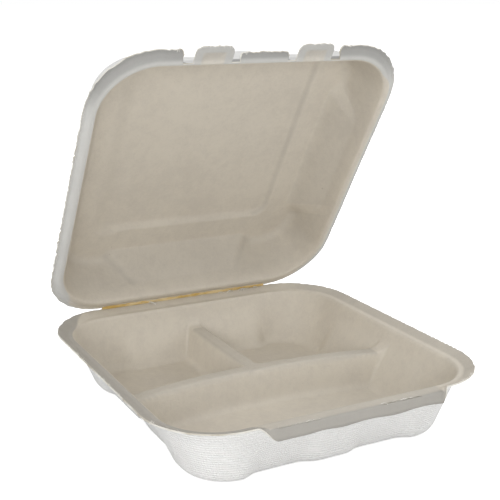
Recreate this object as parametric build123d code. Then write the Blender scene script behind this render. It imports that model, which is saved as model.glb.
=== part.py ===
from build123d import *
from dataclasses import dataclass
import math
import os

# A hinged clamshell food container, moulded from sugar cane pulp in one sheet.
# The shapes are made about the middle of the tray's underside. Z is up, X runs along the
# hinge, and Y points to the hinge at the back. All lengths are in millimetres.

# The sheet of pulp
WALL = 0.9
NEST_GAP = 0.4

# The tray's rim, which the lid's rim repeats
TRAY_SIZE = 229.0
RIM_HEIGHT = 42.5
RIM_CORNER = 46.0
FLANGE_WIDTH = 7.0
FLANGE_RISE = 3.3
LEDGE_WIDTH = 3.5

# The tray's pan: corner posts, and flat facets between them that begin at a shoulder
TRAY_POST_INSET_X = 16.5
TRAY_POST_INSET_Y = 9.2
TRAY_FACET_DEPTH = 5.0
TRAY_SHOULDER_DEPTH = 9.5
TRAY_FOOT_CORNER = 26.0
TRAY_FOOT_ROUND = 5.0

# How far a wall's facets stay from the corner's round, at their top and at the foot
FACET_CLEAR_AT_TOP = 19.5
FACET_CLEAR_AT_FOOT = 5.5
FACET_SLOPE_RUN = 4.5
PILASTER_HALF_WIDTH = 12.0

# The ribs between the three compartments
RIB_HEIGHT = 24.0
RIB_TOP_WIDTH = 9.4
RIB_DRAFT = 15.0
RIB_EDGE_ROUND = 2.6
LONG_RIB_MIDDLE_Y = 5.0
LONG_RIB_BOW_RADIUS = 390.0
LONG_RIB_SPREAD = 34.0

# The lock lip on the front edge
LIP_FOLD_OUT = 6.5
LIP_DROP = 6.6
LIP_LEAN = 1.8
LIP_LEFT_CLEAR = 4.5
LIP_LEFT_RUN = 14.0
LIP_RIGHT_CLEAR = 0.5
LIP_RIGHT_RUN = 2.5
LIP_BLEND_STEPS = 6

# The slits that take the lid's tongues
SLIT_LENGTH = 28.0
SLIT_WIDTH = 1.5
SLIT_FROM_FOLD = 1.6

# The lid
LID_SIDE_CLEAR = 2.2
LID_FRONT_CLEAR = 0.5
LID_CORNER_CLEAR = 4.5
LID_MIDDLE_TRIM = 2.5
LID_DEPTH = 35.0
LID_SHOULDER_DEPTH = 12.0
LID_POST_INSET = 8.5
LID_FRONT_POST_INSET = 15.5
LID_FACET_DEPTH = 8.0
LID_FRONT_FACET_DEPTH = 4.5
LID_FOOT_CORNER = 26.0
LID_FOOT_ROUND = 5.0
PANEL_CLEAR_X = 20.5
PANEL_CLEAR_Y = 20.5
PANEL_RISE = 3.0
PANEL_SLOPE_RUN = 1.5
PANEL_CORNER = 8.0
PANEL_SHIFT_Y = -2.5

# The two tongues on the lid's front edge, with a notch at each side
TONGUE_OFFSET = 36.0
TONGUE_WIDTH = 26.0
TONGUE_PROUD = 4.0
TONGUE_CORNER = 5.0
TONGUE_CHANNEL_WIDTH = 15.0
TONGUE_CHANNEL_DEPTH = 1.2
TONGUE_RIM_WIDTH = 4.5
INNER_NOTCH_WIDTH = 6.0
OUTER_NOTCH_WIDTH = 7.0
NOTCH_CORNER = 2.5

# The hinge: the lid is made shut, then swung open to where it leans
HINGE_CLEARANCE = 0.5
REST_OPENING = 59.0

# How far the tray's middle stands in front of the opened container's own middle
STANCE_SHIFT = 7.97

# Sizes that follow from the ones above
HALF = TRAY_SIZE / 2
STRAIGHT_HALF = HALF - RIM_CORNER
OPENING = HALF - FLANGE_WIDTH - LEDGE_WIDTH
OPENING_CORNER = RIM_CORNER - FLANGE_WIDTH - LEDGE_WIDTH
LEDGE_OUT = HALF - FLANGE_WIDTH
LEDGE_CORNER = RIM_CORNER - FLANGE_WIDTH
LEDGE_Z = RIM_HEIGHT - FLANGE_RISE
LID_LEDGE_Z = LEDGE_Z + NEST_GAP
HINGE_Y = HALF
HINGE_Z = RIM_HEIGHT + NEST_GAP / 2
LID_FRONT = LID_FRONT_CLEAR - HALF
LID_HALF_X = HALF - LID_SIDE_CLEAR
LID_CORNER = RIM_CORNER - LID_CORNER_CLEAR
TONGUE_END = LID_FRONT - TONGUE_PROUD
LIP_LEFT_START = LIP_LEFT_CLEAR - STRAIGHT_HALF
LIP_LEFT_FULL = LIP_LEFT_START + LIP_LEFT_RUN
LIP_RIGHT_END = STRAIGHT_HALF - LIP_RIGHT_CLEAR
LIP_RIGHT_FULL = LIP_RIGHT_END - LIP_RIGHT_RUN
FACET_END_AT_TOP = STRAIGHT_HALF - FACET_CLEAR_AT_TOP
FACET_END_AT_FOOT = OPENING - TRAY_POST_INSET_X - TRAY_FOOT_CORNER - FACET_CLEAR_AT_FOOT
PANEL_HALF_X = OPENING - LID_POST_INSET - LID_FACET_DEPTH - PANEL_CLEAR_X
PANEL_HALF_Y = OPENING - LID_POST_INSET - LID_FACET_DEPTH - PANEL_CLEAR_Y
FOLD_Y = -(LEDGE_OUT + LIP_FOLD_OUT)

# Spare length of cutters, past what they cut
ABOVE = 20.0
THROUGH = 4 * RIM_HEIGHT
SLIT_CUT = 4 * WALL


def block(half_x, half_y, corner, low, high):
    """An upright block with a rounded rectangle for its plan, from one height to another."""
    plan = Pos(0, 0, low) * RectangleRounded(2 * half_x, 2 * half_y, corner)
    return extrude(plan, high - low)


def wall_line(half_length, out, facet_out, end, slope_run, pilaster):
    """One side's plan, from its left end to its right one, seen with outside at -Y.

    The wall stands at out beside the corners and at facet_out on its facets. A pilaster
    splits the facet in two, and stands as far out as the corners do.
    """
    left = [(-half_length, -out), (-end - slope_run, -out), (-end, -facet_out)]
    middle = []
    if pilaster:
        middle = [(-pilaster - slope_run, -facet_out), (-pilaster, -out)]
    half = left + middle
    return half + [(-x, y) for x, y in reversed(half)]


def plan_face(half_x, half_y, centre_y, corner, depths, end, slope_run, grow, z):
    """The plan of a pan at one height, with every face moved outward by grow.

    The depths are the front facets' own and that of the facets on the other sides.
    """
    out_x = half_x + grow
    out_y = half_y + grow
    radius = corner + grow
    flat_x = out_x - radius
    flat_y = out_y - radius
    # A face turned by 45 degrees and moved outward shifts its ends by this much
    shift = grow * math.tan(math.radians(22.5))
    sides = []
    for turn in range(4):
        across = turn % 2 == 0
        out = out_y if across else out_x
        flat = flat_x if across else flat_y
        depth = depths[0] if turn == 0 else depths[1]
        pilaster = PILASTER_HALF_WIDTH + shift if turn == 0 else 0
        line = wall_line(flat, out, out - depth, end - shift, slope_run, pilaster)
        angle = math.radians(90 * turn)
        sides.append(
            [
                (
                    x * math.cos(angle) - y * math.sin(angle),
                    x * math.sin(angle) + y * math.cos(angle) + centre_y,
                    z,
                )
                for x, y in line
            ]
        )
    edges = []
    for turn, side in enumerate(sides):
        edges += [Line(a, b) for a, b in zip(side[:-1], side[1:])]
        follows = sides[(turn + 1) % 4]
        edges.append(RadiusArc(side[-1], follows[0], -radius))
    return Face(Wire(edges))


@dataclass(frozen=True)
class PanForm:
    """The sizes that shape one pan, from its open end to its foot."""

    open_z: float
    foot_z: float
    shoulder: float
    inset_x: float
    inset_back: float
    inset_front: float
    facet_depth: float
    front_facet_depth: float
    foot_corner: float
    foot_round: float

    def section(self, level, faceted, grow):
        """The pan's plan at a level, which runs from 0 at the open end to 1 at the foot."""
        depths = (self.front_facet_depth, self.facet_depth) if faceted else (0, 0)
        way = math.copysign(grow, self.foot_z - self.open_z) if faceted else 0
        return plan_face(
            OPENING - self.inset_x * level,
            OPENING - (self.inset_front + self.inset_back) / 2 * level,
            (self.inset_front - self.inset_back) / 2 * level,
            OPENING_CORNER + (self.foot_corner - OPENING_CORNER) * level,
            depths,
            FACET_END_AT_FOOT if faceted else FACET_END_AT_TOP,
            FACET_SLOPE_RUN,
            grow,
            self.open_z + (self.foot_z - self.open_z) * level + way,
        )

    def solid(self, grow):
        """The pan's solid, with plain walls down to its shoulder and facets from there on."""
        share = self.shoulder / abs(self.foot_z - self.open_z)
        foot = self.section(1, True, grow)
        rest = [self.section(level, False, grow) for level in (share, 0)]
        body = loft([foot] + rest, ruled=True)
        foot_side = -1 if self.foot_z > self.open_z else 0
        foot_edges = body.faces().sort_by(Axis.Z)[foot_side].edges()
        return fillet(foot_edges, self.foot_round + grow)


def rib_section(top_width, top_z, low_z):
    """A rib's section about its middle line, as (out, up) points: a flat top and drafted sides."""
    half_top = top_width / 2
    half_low = half_top + (top_z - low_z) * math.tan(math.radians(RIB_DRAFT))
    return [(-half_low, low_z), (-half_top, top_z), (half_top, top_z), (half_low, low_z)]


def ribs(shrink):
    """The ribs that part the pan: a bowed one across it, and one from there to the back."""
    width = RIB_TOP_WIDTH - 2 * shrink
    top = RIB_HEIGHT - shrink
    section = rib_section(width, top, -ABOVE)
    centre_y = LONG_RIB_MIDDLE_Y - LONG_RIB_BOW_RADIUS
    ring = [(LONG_RIB_BOW_RADIUS + out, up) for out, up in section]
    profile = Plane.XZ * make_face(Polyline(*ring, close=True))
    start = 90 - LONG_RIB_SPREAD / 2
    turned = Rot(0, 0, start) * profile
    long_rib = Pos(0, centre_y, 0) * revolve(turned, Axis.Z, LONG_RIB_SPREAD)
    run = TRAY_SIZE - LONG_RIB_MIDDLE_Y
    across = Plane.XZ * make_face(Polyline(*section, close=True))
    short_rib = Pos(0, LONG_RIB_MIDDLE_Y, 0) * extrude(across, -run)
    both = long_rib + short_rib
    top_edges = both.faces().filter_by(Axis.Z).sort_by(Axis.Z)[-1].edges()
    return fillet(top_edges, RIB_EDGE_ROUND - shrink)


def dish(low_z, width_out):
    """The hollow of a rim: a cone-cornered dish that rises outward from the ledge's edge."""
    slope = FLANGE_RISE / FLANGE_WIDTH
    low = Pos(0, 0, low_z) * RectangleRounded(2 * LEDGE_OUT, 2 * LEDGE_OUT, LEDGE_CORNER)
    out = LEDGE_OUT + width_out
    high = Pos(0, 0, low_z + width_out * slope) * RectangleRounded(
        2 * out, 2 * out, LEDGE_CORNER + width_out
    )
    return loft([low, high], ruled=True)


def rim(ledge_z, outline):
    """A rim: a flat ledge round the opening, then a flange that rises to the outline."""
    below = ledge_z - WALL
    spare = 2 * FLANGE_WIDTH
    flange = (dish(below, spare) - dish(ledge_z, spare)) & outline
    ledge = block(LEDGE_OUT, LEDGE_OUT, LEDGE_CORNER, below, ledge_z)
    return flange + ledge


def lip_section(x, blend):
    """A slice of the front edge at x: the rim's flange at blend 0, the lock lip at blend 1."""
    start = (-LEDGE_OUT, LEDGE_Z)
    flange_mid = (-LEDGE_OUT - FLANGE_WIDTH / 2, LEDGE_Z + FLANGE_RISE / 2)
    flange_end = (-HALF, RIM_HEIGHT)
    fold = (FOLD_Y, LEDGE_Z)
    lip_end = (FOLD_Y - LIP_LEAN, LEDGE_Z - LIP_DROP)
    mid = tuple(a + (b - a) * blend for a, b in zip(flange_mid, fold))
    end = tuple(a + (b - a) * blend for a, b in zip(flange_end, lip_end))
    # The underside lies a wall's thickness below the flange, and behind the hanging lip
    back = WALL * blend
    down = WALL * (1 - blend)
    top = [start, mid, end]
    under = [
        (end[0] + back, end[1] - down),
        (mid[0] + back, mid[1] - WALL),
        (start[0], start[1] - WALL),
    ]
    points = [(x, y, z) for y, z in top + under]
    return Face(Wire.make_polygon(points, close=True))


def lock_lip():
    """The lip that turns down along the front, with a soft left end and a short right one."""
    slices = []
    for step in range(LIP_BLEND_STEPS + 1):
        share = step / LIP_BLEND_STEPS
        blend = (1 - math.cos(math.pi * share)) / 2
        slices.append((LIP_LEFT_START + (LIP_LEFT_FULL - LIP_LEFT_START) * share, blend))
    slices.append((LIP_RIGHT_FULL, 1))
    slices.append((LIP_RIGHT_END, 0))
    return loft([lip_section(x, blend) for x, blend in slices], ruled=True)


def make_tray():
    """The tray: a pan in three compartments, a rim with a lock lip, and two slits in it."""
    form = PanForm(
        open_z=LEDGE_Z,
        foot_z=WALL,
        shoulder=TRAY_SHOULDER_DEPTH,
        inset_x=TRAY_POST_INSET_X,
        inset_back=TRAY_POST_INSET_Y,
        inset_front=TRAY_POST_INSET_Y,
        facet_depth=TRAY_FACET_DEPTH,
        front_facet_depth=TRAY_FACET_DEPTH,
        foot_corner=TRAY_FOOT_CORNER,
        foot_round=TRAY_FOOT_ROUND,
    )
    outside = form.solid(WALL) - ribs(WALL)
    inside = form.solid(0) - ribs(0)
    mouth = block(OPENING, OPENING, OPENING_CORNER, LEDGE_Z, RIM_HEIGHT + ABOVE)
    outline = block(HALF, HALF, RIM_CORNER, 0, RIM_HEIGHT + ABOVE)
    edge = rim(LEDGE_Z, outline)
    lip_length = LIP_RIGHT_END - LIP_LEFT_START
    gap = Pos((LIP_LEFT_START + LIP_RIGHT_END) / 2, -LEDGE_OUT, 0) * Box(
        lip_length, ABOVE, THROUGH, align=(Align.CENTER, Align.MAX, Align.CENTER)
    )
    hinge_trim = Pos(0, HINGE_Y - HINGE_CLEARANCE, 0) * Box(
        2 * TRAY_SIZE, ABOVE, THROUGH, align=(Align.CENTER, Align.MIN, Align.CENTER)
    )
    edge = edge - gap - hinge_trim + lock_lip()
    tray = edge + outside - inside - mouth
    slit_y = FOLD_Y + SLIT_FROM_FOLD
    for side in (-1, 1):
        slit = Pos(side * TONGUE_OFFSET, slit_y, LEDGE_Z) * Box(SLIT_LENGTH, SLIT_WIDTH, SLIT_CUT)
        tray -= slit
    return tray


def front_slot(x_low, x_high, corner):
    """A cutter for the lid's front rim, open to the front, with rounded inner corners."""
    reach = OPENING + WALL
    length = TRAY_SIZE
    plan = Pos((x_low + x_high) / 2, -reach - length / 2) * RectangleRounded(
        x_high - x_low, length, corner
    )
    return extrude(plan, THROUGH)


def tongue(side):
    """A tongue in the ledge's plane, with a shallow channel pressed down its middle."""
    root = -OPENING + LEDGE_WIDTH
    plan = Pos(side * TONGUE_OFFSET, (TONGUE_END + root) / 2) * RectangleRounded(
        TONGUE_WIDTH, root - TONGUE_END, TONGUE_CORNER
    )
    plate = extrude(Pos(0, 0, LID_LEDGE_Z) * plan, WALL)
    channel_end = TONGUE_END + TONGUE_RIM_WIDTH
    channel = Pos(side * TONGUE_OFFSET, (channel_end + root) / 2, LID_LEDGE_Z)
    pressed = channel * RectangleRounded(TONGUE_CHANNEL_WIDTH, root - channel_end, TONGUE_CORNER / 2)
    boss = extrude(pressed, WALL + TONGUE_CHANNEL_DEPTH)
    hollow = extrude(offset(pressed, -WALL), TONGUE_CHANNEL_DEPTH)
    return plate + boss - hollow


def panel(grow, low_z):
    """The raised panel in the middle of the lid's top, with sloping sides."""
    top = PANEL_RISE
    low = Pos(0, PANEL_SHIFT_Y, low_z - ABOVE) * RectangleRounded(
        2 * (PANEL_HALF_X + grow + PANEL_SLOPE_RUN * (1 + ABOVE / top)),
        2 * (PANEL_HALF_Y + grow + PANEL_SLOPE_RUN * (1 + ABOVE / top)),
        PANEL_CORNER + grow + PANEL_SLOPE_RUN * (1 + ABOVE / top),
    )
    high = Pos(0, PANEL_SHIFT_Y, low_z + top + grow) * RectangleRounded(
        2 * (PANEL_HALF_X + grow), 2 * (PANEL_HALF_Y + grow), PANEL_CORNER + grow
    )
    return loft([low, high], ruled=True)


def make_lid_shut():
    """The lid as it lies when shut: a domed pan with a raised panel, a rim and two tongues."""
    foot_z = LID_LEDGE_Z + LID_DEPTH
    form = PanForm(
        open_z=LID_LEDGE_Z,
        foot_z=foot_z,
        shoulder=LID_SHOULDER_DEPTH,
        inset_x=LID_POST_INSET,
        inset_back=LID_POST_INSET,
        inset_front=LID_FRONT_POST_INSET,
        facet_depth=LID_FACET_DEPTH,
        front_facet_depth=LID_FRONT_FACET_DEPTH,
        foot_corner=LID_FOOT_CORNER,
        foot_round=LID_FOOT_ROUND,
    )
    high = block(TRAY_SIZE, TRAY_SIZE, RIM_CORNER, foot_z - ABOVE / 2, foot_z + ABOVE)
    outside = form.solid(WALL) + (panel(WALL, foot_z) & high)
    inside = form.solid(0) + (panel(0, foot_z) & high)
    mouth = block(OPENING, OPENING, OPENING_CORNER, 0, LID_LEDGE_Z)
    middle_y = (HINGE_Y - HINGE_CLEARANCE + LID_FRONT) / 2
    outline_plan = Pos(0, middle_y) * RectangleRounded(
        2 * LID_HALF_X, 2 * (middle_y - LID_FRONT), LID_CORNER
    )
    outline = extrude(outline_plan, RIM_HEIGHT + ABOVE)
    edge = rim(LID_LEDGE_Z + WALL, outline)
    middle_trim = Pos(0, LID_FRONT + LID_MIDDLE_TRIM, 0) * Box(
        2 * TONGUE_OFFSET - TONGUE_WIDTH, ABOVE, THROUGH, align=(Align.CENTER, Align.MAX, Align.CENTER)
    )
    edge -= middle_trim
    for side in (-1, 1):
        inner = TONGUE_OFFSET - TONGUE_WIDTH / 2
        outer = TONGUE_OFFSET + TONGUE_WIDTH / 2
        low, high_x = sorted((side * (inner - INNER_NOTCH_WIDTH), side * (outer + OUTER_NOTCH_WIDTH)))
        edge -= front_slot(low, high_x, NOTCH_CORNER)
        edge += tongue(side)
    return edge + outside - inside - mouth


def open_lid(shut):
    """Swings the shut lid about the hinge to the angle at which it leans."""
    hinge = Axis((0, HINGE_Y, HINGE_Z), (-1, 0, 0))
    return shut.rotate(hinge, REST_OPENING)


if __name__ == "__main__":
    os.makedirs("parts", exist_ok=True)
    stance = Pos(0, -STANCE_SHIFT, 0)
    export_step(stance * make_tray(), "parts/base_tray.step")
    export_step(stance * open_lid(make_lid_shut()), "parts/lid.step")
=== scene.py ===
"""Dresses a hinged clamshell food container, moulded from sugar cane pulp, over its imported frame.

Sizes in the classes are in millimetres, as on the mould maker's drawing. Meshes are written
in metres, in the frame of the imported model: the origin is the bottom centre of the box round
the open container, which is a little nearer the hinge than the tray's own middle.
"""

import logging
import math
from dataclasses import dataclass, field
from enum import Enum, IntEnum
from typing import Union

import bpy
import numpy as np
from mathutils import Matrix, Vector

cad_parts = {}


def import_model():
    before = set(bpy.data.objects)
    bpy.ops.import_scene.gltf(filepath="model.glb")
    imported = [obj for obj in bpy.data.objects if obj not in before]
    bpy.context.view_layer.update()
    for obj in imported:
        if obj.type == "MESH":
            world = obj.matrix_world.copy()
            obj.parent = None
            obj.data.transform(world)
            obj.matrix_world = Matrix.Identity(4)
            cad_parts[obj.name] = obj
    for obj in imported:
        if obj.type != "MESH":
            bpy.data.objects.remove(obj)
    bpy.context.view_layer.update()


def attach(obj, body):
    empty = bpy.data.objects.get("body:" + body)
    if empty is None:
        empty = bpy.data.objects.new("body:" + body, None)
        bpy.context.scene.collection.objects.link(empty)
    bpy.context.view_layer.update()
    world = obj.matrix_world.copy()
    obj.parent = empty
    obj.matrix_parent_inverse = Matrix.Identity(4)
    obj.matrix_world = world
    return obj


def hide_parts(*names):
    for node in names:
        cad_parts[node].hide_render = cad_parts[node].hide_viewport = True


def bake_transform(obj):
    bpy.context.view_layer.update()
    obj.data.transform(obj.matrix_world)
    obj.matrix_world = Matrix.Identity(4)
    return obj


LOG = logging.getLogger("clamshell")
MM = 0.001
STANCE = 7.97
CLOSE = 1e-6
FLAT_ROWS = (3, 2, 1, 4, 10)
BEND_ROWS = (4, 4, 5, 5, 9)
CORE_ROWS = 3

Colour = tuple[float, float, float]
Columns = dict[str, np.ndarray]
Number = Union[float, int]


class Row(IntEnum):
    """Landmarks among a pan's rows of points, counted inwards from the trimmed edge."""

    SLIT = 6
    FOLD = 7
    MOUTH = 14
    WALL = 22
    LOW_WALL = 36


class Skin(Enum):
    """The skins of the pulp sheet, by their material slot on a piece."""

    INSIDE = 0
    OUTSIDE = 1
    TRIMMED = 2


class Side(Enum):
    """The four sides of a pan, by how many quarter turns each lies from the front."""

    FRONT = 0
    RIGHT = 1
    BACK = 2
    LEFT = 3

    @property
    def runs_across(self) -> bool:
        """Whether the side runs from left to right."""
        return self in (Side.FRONT, Side.BACK)

    @property
    def spin(self) -> np.ndarray:
        """The matrix that turns plan points of the front round to this side."""
        turn = self.value * math.pi / 2
        return np.array([[math.cos(turn), math.sin(turn)], [-math.sin(turn), math.cos(turn)]])


def ripple(x: np.ndarray, y: np.ndarray, wave: float, seed: int) -> np.ndarray:
    """A smooth uneven field over a plan.

    Args:
        x: Places along one axis.
        y: Places along the other axis.
        wave: The mean distance from one swell to the next.
        seed: Picks the field.

    Returns:
        Heights of about one unit either way.
    """
    rng = np.random.default_rng(seed)
    total = np.zeros(np.broadcast(x, y).shape)
    count = 9
    for _ in range(count):
        angle = rng.uniform(0, 2 * math.pi)
        rate = 2 * math.pi / (wave * rng.uniform(0.65, 1.6))
        phase = rng.uniform(0, 2 * math.pi)
        total += np.sin(rate * (x * math.cos(angle) + y * math.sin(angle)) + phase)
    return total / math.sqrt(count)


def smooth_step(low: float, high: float, value: np.ndarray) -> np.ndarray:
    """A soft step from 0 at low to 1 at high."""
    share = np.clip((value - low) / (high - low), 0.0, 1.0)
    return share * share * (3 - 2 * share)


def round_max(a: np.ndarray, b: np.ndarray, power: float) -> np.ndarray:
    """The larger of two heights above nought, with a filleted valley between them."""
    a, b = np.maximum(a, 0.0), np.maximum(b, 0.0)
    return (a**power + b**power) ** (1 / power)


def rounded_off(inward: np.ndarray, radius: float) -> np.ndarray:
    """What a rounded corner takes off an edge, this far in from the edge's end."""
    near = np.clip(inward, 0, radius)
    return radius - np.sqrt(np.maximum(radius**2 - (radius - near) ** 2, 0))


def front_points(along: np.ndarray, away: Union[float, np.ndarray]) -> np.ndarray:
    """Plan points of the front, at these stations and this far out from the middle."""
    return np.stack([along, np.zeros(len(along)) - away], 1)


def stations(start: float, *stretches: tuple[float, float]) -> np.ndarray:
    """Places along a side, exact at the end of every stretch.

    Args:
        start: The first place.
        *stretches: Where each stretch ends, and about how far apart its places are.

    Returns:
        The places, in order.
    """
    places = [start]
    for end, pitch in stretches:
        steps = max(1, round((end - start) / pitch))
        places += [start + (end - start) * k / steps for k in range(1, steps + 1)]
        start = end
    return np.array(places)


def straight(start: np.ndarray, end: np.ndarray, steps: int) -> list[np.ndarray]:
    """Rows of a flat face, without its first row."""
    return [start + (end - start) * (k / steps) for k in range(1, steps + 1)]


def bend(start: np.ndarray, corner: np.ndarray, end: np.ndarray, steps: int) -> list[np.ndarray]:
    """Rows of a rounded corner, without its first row.

    Args:
        start: Where the round leaves the first face, one point a column.
        corner: The sharp corner.
        end: Where the round meets the next face.
        steps: How many rows are made.

    Returns:
        The rows, the last of which is end.
    """
    shares = [k / steps for k in range(1, steps + 1)]
    return [(1 - t) ** 2 * start + 2 * t * (1 - t) * corner + t * t * end for t in shares]


def toward(start: np.ndarray, end: np.ndarray, length: float) -> np.ndarray:
    """Points that lie a length from start on the way to end.

    Args:
        start: Where the points are measured from.
        end: Where they lie towards.
        length: How far off they lie, which is cut to just under half the way.

    Returns:
        The points.
    """
    gap = end - start
    distance = np.linalg.norm(gap, axis=-1, keepdims=True)
    return start + gap * (np.minimum(length, distance * 0.48) / np.maximum(distance, 1e-9))


def ring_sides(ring: np.ndarray, nx: int, ny: int) -> tuple[np.ndarray, ...]:
    """A ring's four sides, each with both its corners.

    Args:
        ring: Values once round, from the front left corner.
        nx: Cells from left to right.
        ny: Cells from front to back.

    Returns:
        The front, right, back and left sides, which run from left to right or front to back.
    """
    back = ring[nx + ny : 2 * nx + ny + 1][::-1]
    left = np.concatenate([ring[2 * nx + ny :], ring[:1]])[::-1]
    return ring[: nx + 1], ring[nx : nx + ny + 1], back, left


def linked(name: str, data: bpy.types.ID) -> bpy.types.Object:
    """Makes an object at the origin and links it to the scene.

    Args:
        name: The object's name.
        data: Its mesh, light or camera.

    Returns:
        The object.
    """
    thing = bpy.data.objects.new(name, data)
    bpy.context.scene.collection.objects.link(thing)
    return thing


@dataclass(frozen=True)
class Band:
    """A band of painted shade over some rows, with soft sides: its strength, and where it fades in
    and out.
    """

    strength: float
    rise: tuple[float, float] = (-2.0, -1.0)
    fall: tuple[float, float] = (98.0, 99.0)

    def over(self, rows: np.ndarray) -> np.ndarray:
        """The painted shade of points on these rows."""
        fading = smooth_step(self.fall[1], self.fall[0], rows)
        return self.strength * smooth_step(*self.rise, rows) * fading


@dataclass
class SheetMesh:
    """A closed mesh of a sheet: an inner skin, an outer skin and the trimmed edges between."""

    points: np.ndarray
    faces: list
    skins: np.ndarray
    pattern: np.ndarray
    rim: np.ndarray
    # Painted shade, from 0 to 1, that the material mixes into each point's colour.
    painted_shade_and_stain: np.ndarray

    def to_object(self, name: str) -> bpy.types.Object:
        """Writes the mesh in metres to a new object at the origin.

        Args:
            name: The piece's name.

        Returns:
            The object, linked to the scene.
        """
        mesh = bpy.data.meshes.new(name)
        mesh.from_pydata((self.points * MM).tolist(), [], self.faces)
        mesh.polygons.foreach_set("material_index", self.skins.astype(np.int32))
        mesh.polygons.foreach_set("use_smooth", self.skins != Skin.TRIMMED.value)
        layer = mesh.uv_layers.new(name="Sheet")
        layer.data.foreach_set("uv", self.pattern.astype(np.float32).ravel())
        for key, share in (("rim", self.rim), ("painted_shade_and_stain", self.painted_shade_and_stain)):
            zone = mesh.attributes.new(key, "FLOAT", "POINT")
            zone.data.foreach_set("value", share.astype(np.float32))
        mesh.update()
        return linked(name, mesh)


@dataclass
class MouldedPan:
    """One half of the container: a pan with a flat ledge and a flange round its mouth.

    Heights are depths below the ledge. The inside of the pan looks towards negative depth.
    """

    wall: float = 0.9
    opening: float = 104.0
    straight_half: float = 68.5
    ledge: float = 3.5
    flange_slope: float = -3.3 / 7.0
    depth: float = 38.3
    shoulder: float = 9.5
    inset_x: float = 16.5
    inset_front: float = 9.2
    inset_back: float = 9.2
    foot_corner: float = 26.0
    facet_depth: float = 5.0
    front_facet_depth: float = 5.0
    facet_ends: tuple[float, float] = (49.0, 56.0)
    front_facet_ends: tuple[float, float] = (49.0, 56.0)
    facet_run: float = 4.5
    pilaster_half: float = 12.0
    crease_round: float = 2.2
    shoulder_round: float = 3.0
    ledge_round: float = 1.3
    mouth_round: float = 2.6
    foot_round: float = 6.5
    core_inset: float = 12.0
    arc_steps: int = 12
    ragged: float = 0.22
    ragged_wave: float = 3.1
    rim_band: float = 15.5
    seed: int = 1

    def across(self) -> np.ndarray:
        """Stations along the front and the back."""
        raise NotImplementedError

    def along(self) -> np.ndarray:
        """Stations along the left and the right side."""
        raise NotImplementedError

    def flange_width(self, side: Side, place: np.ndarray, angle: np.ndarray) -> np.ndarray:
        """How far the flange goes past the ledge, for each column of a side."""
        raise NotImplementedError

    def lift(self, x: np.ndarray, y: np.ndarray, depth: np.ndarray) -> np.ndarray:
        """Depths after the shapes that rise from the floor are added."""
        raise NotImplementedError

    def place(self, points: np.ndarray) -> np.ndarray:
        """Pan points (x, y, depth) in the model's frame."""
        raise NotImplementedError

    def steer(self, grid: np.ndarray) -> np.ndarray:
        """The middle grid after its lines are led along the shapes on the floor."""
        return grid

    def bare(self, x: np.ndarray, y: np.ndarray) -> np.ndarray:
        """Where the rim keeps the inside's colour, from 0 to 1."""
        return np.zeros(len(x))

    def missing(self, cols: Columns, row: int) -> np.ndarray:
        """Which cells of a row are cut away, one flag a column."""
        return np.zeros(len(cols["station"]), bool)

    def rim_rows(self, cols: Columns) -> np.ndarray:
        """How many rows in from the edge have the rim's own colour, one number a column."""
        return np.full(len(cols["station"]), self.rim_band)

    def painted_shades(
        self, cols: Columns, rows: np.ndarray, points: np.ndarray
    ) -> tuple[np.ndarray, np.ndarray]:
        """How far the sheet is darkened with painted shade, from 0 to 1, on either skin.

        Args:
            cols: The columns.
            rows: The row of each point, with those of the middle grid past the last row.
            points: The points (x, y, depth).

        Returns:
            The inner skin's and the outer skin's painted shade.
        """
        return np.zeros(len(points)), np.zeros(len(points))

    def facet(self, side: Side) -> tuple[float, float, float]:
        """The shape of a side's facets.

        Args:
            side: The side.

        Returns:
            How deep they step in, and where they end at the mouth and at the foot.
        """
        if side is Side.FRONT:
            return (self.front_facet_depth, *self.front_facet_ends)
        return (self.facet_depth, *self.facet_ends)

    def columns(self) -> Columns:
        """The plan points of every column, once round from the front left corner.

        Returns:
            The arrays mouth, out, shoulder, foot and core in plan, and side, station and width.
        """
        parts = [self.side_columns(side) for side in Side]
        return {key: np.concatenate([part[key] for part in parts]) for key in parts[0]}

    def side_columns(self, side: Side) -> Columns:
        """The columns of one side, with half of the corner at either end.

        Args:
            side: The side.

        Returns:
            The arrays that columns names, for this side.
        """
        inset_y = (self.inset_front + self.inset_back) / 2
        forward = (self.inset_front - self.inset_back) / 2
        share = self.shoulder / self.depth
        places = self.across() if side.runs_across else self.along()
        if side in (Side.BACK, Side.LEFT):
            places = -places[::-1]
        insets = (self.inset_x, inset_y) if side.runs_across else (inset_y, self.inset_x)
        quarter = np.linspace(0, math.pi / 4, self.arc_steps + 1)
        angle = np.concatenate([-quarter[:0:-1], np.zeros(len(places)), quarter[1:-1]])
        place = np.pad(places, (self.arc_steps, self.arc_steps - 1), mode="edge")
        out = np.stack([np.sin(angle), -np.cos(angle)], 1)
        corner = self.opening - self.straight_half
        flats = [self.opening - inset - self.foot_corner for inset in insets]
        nears = [self.straight_half + (flat - self.straight_half) * share for flat in flats]
        near_corner = corner + (self.foot_corner - corner) * share
        at_foot, step_in = self.foot_line(side, place, flats[0])
        _, at_mouth, at_floor = self.facet(side)
        kept = at_mouth + self.facet_run
        at_kept = kept + (at_floor - at_mouth) * share
        at_shoulder = np.interp(
            place,
            [-self.straight_half, -kept, kept, self.straight_half],
            [-nears[0], -at_kept, at_kept, nears[0]],
        )
        plans = {
            "mouth": (front_points(place, self.straight_half) + corner * out, 0.0),
            "out": (out, 0.0),
            "shoulder": (front_points(at_shoulder, nears[1]) + near_corner * out, forward * share),
            "foot": (front_points(at_foot, flats[1] - step_in) + self.foot_corner * out, forward),
            "core": (
                front_points(at_foot, flats[1]) + (self.foot_corner - self.core_inset) * out,
                forward,
            ),
        }
        cols = {
            key: flat @ side.spin + np.array([0.0, moved]) for key, (flat, moved) in plans.items()
        }
        cols["side"] = np.full(len(place), side.value)
        cols["station"] = place
        cols["width"] = self.flange_width(side, place, angle)
        return cols

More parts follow.
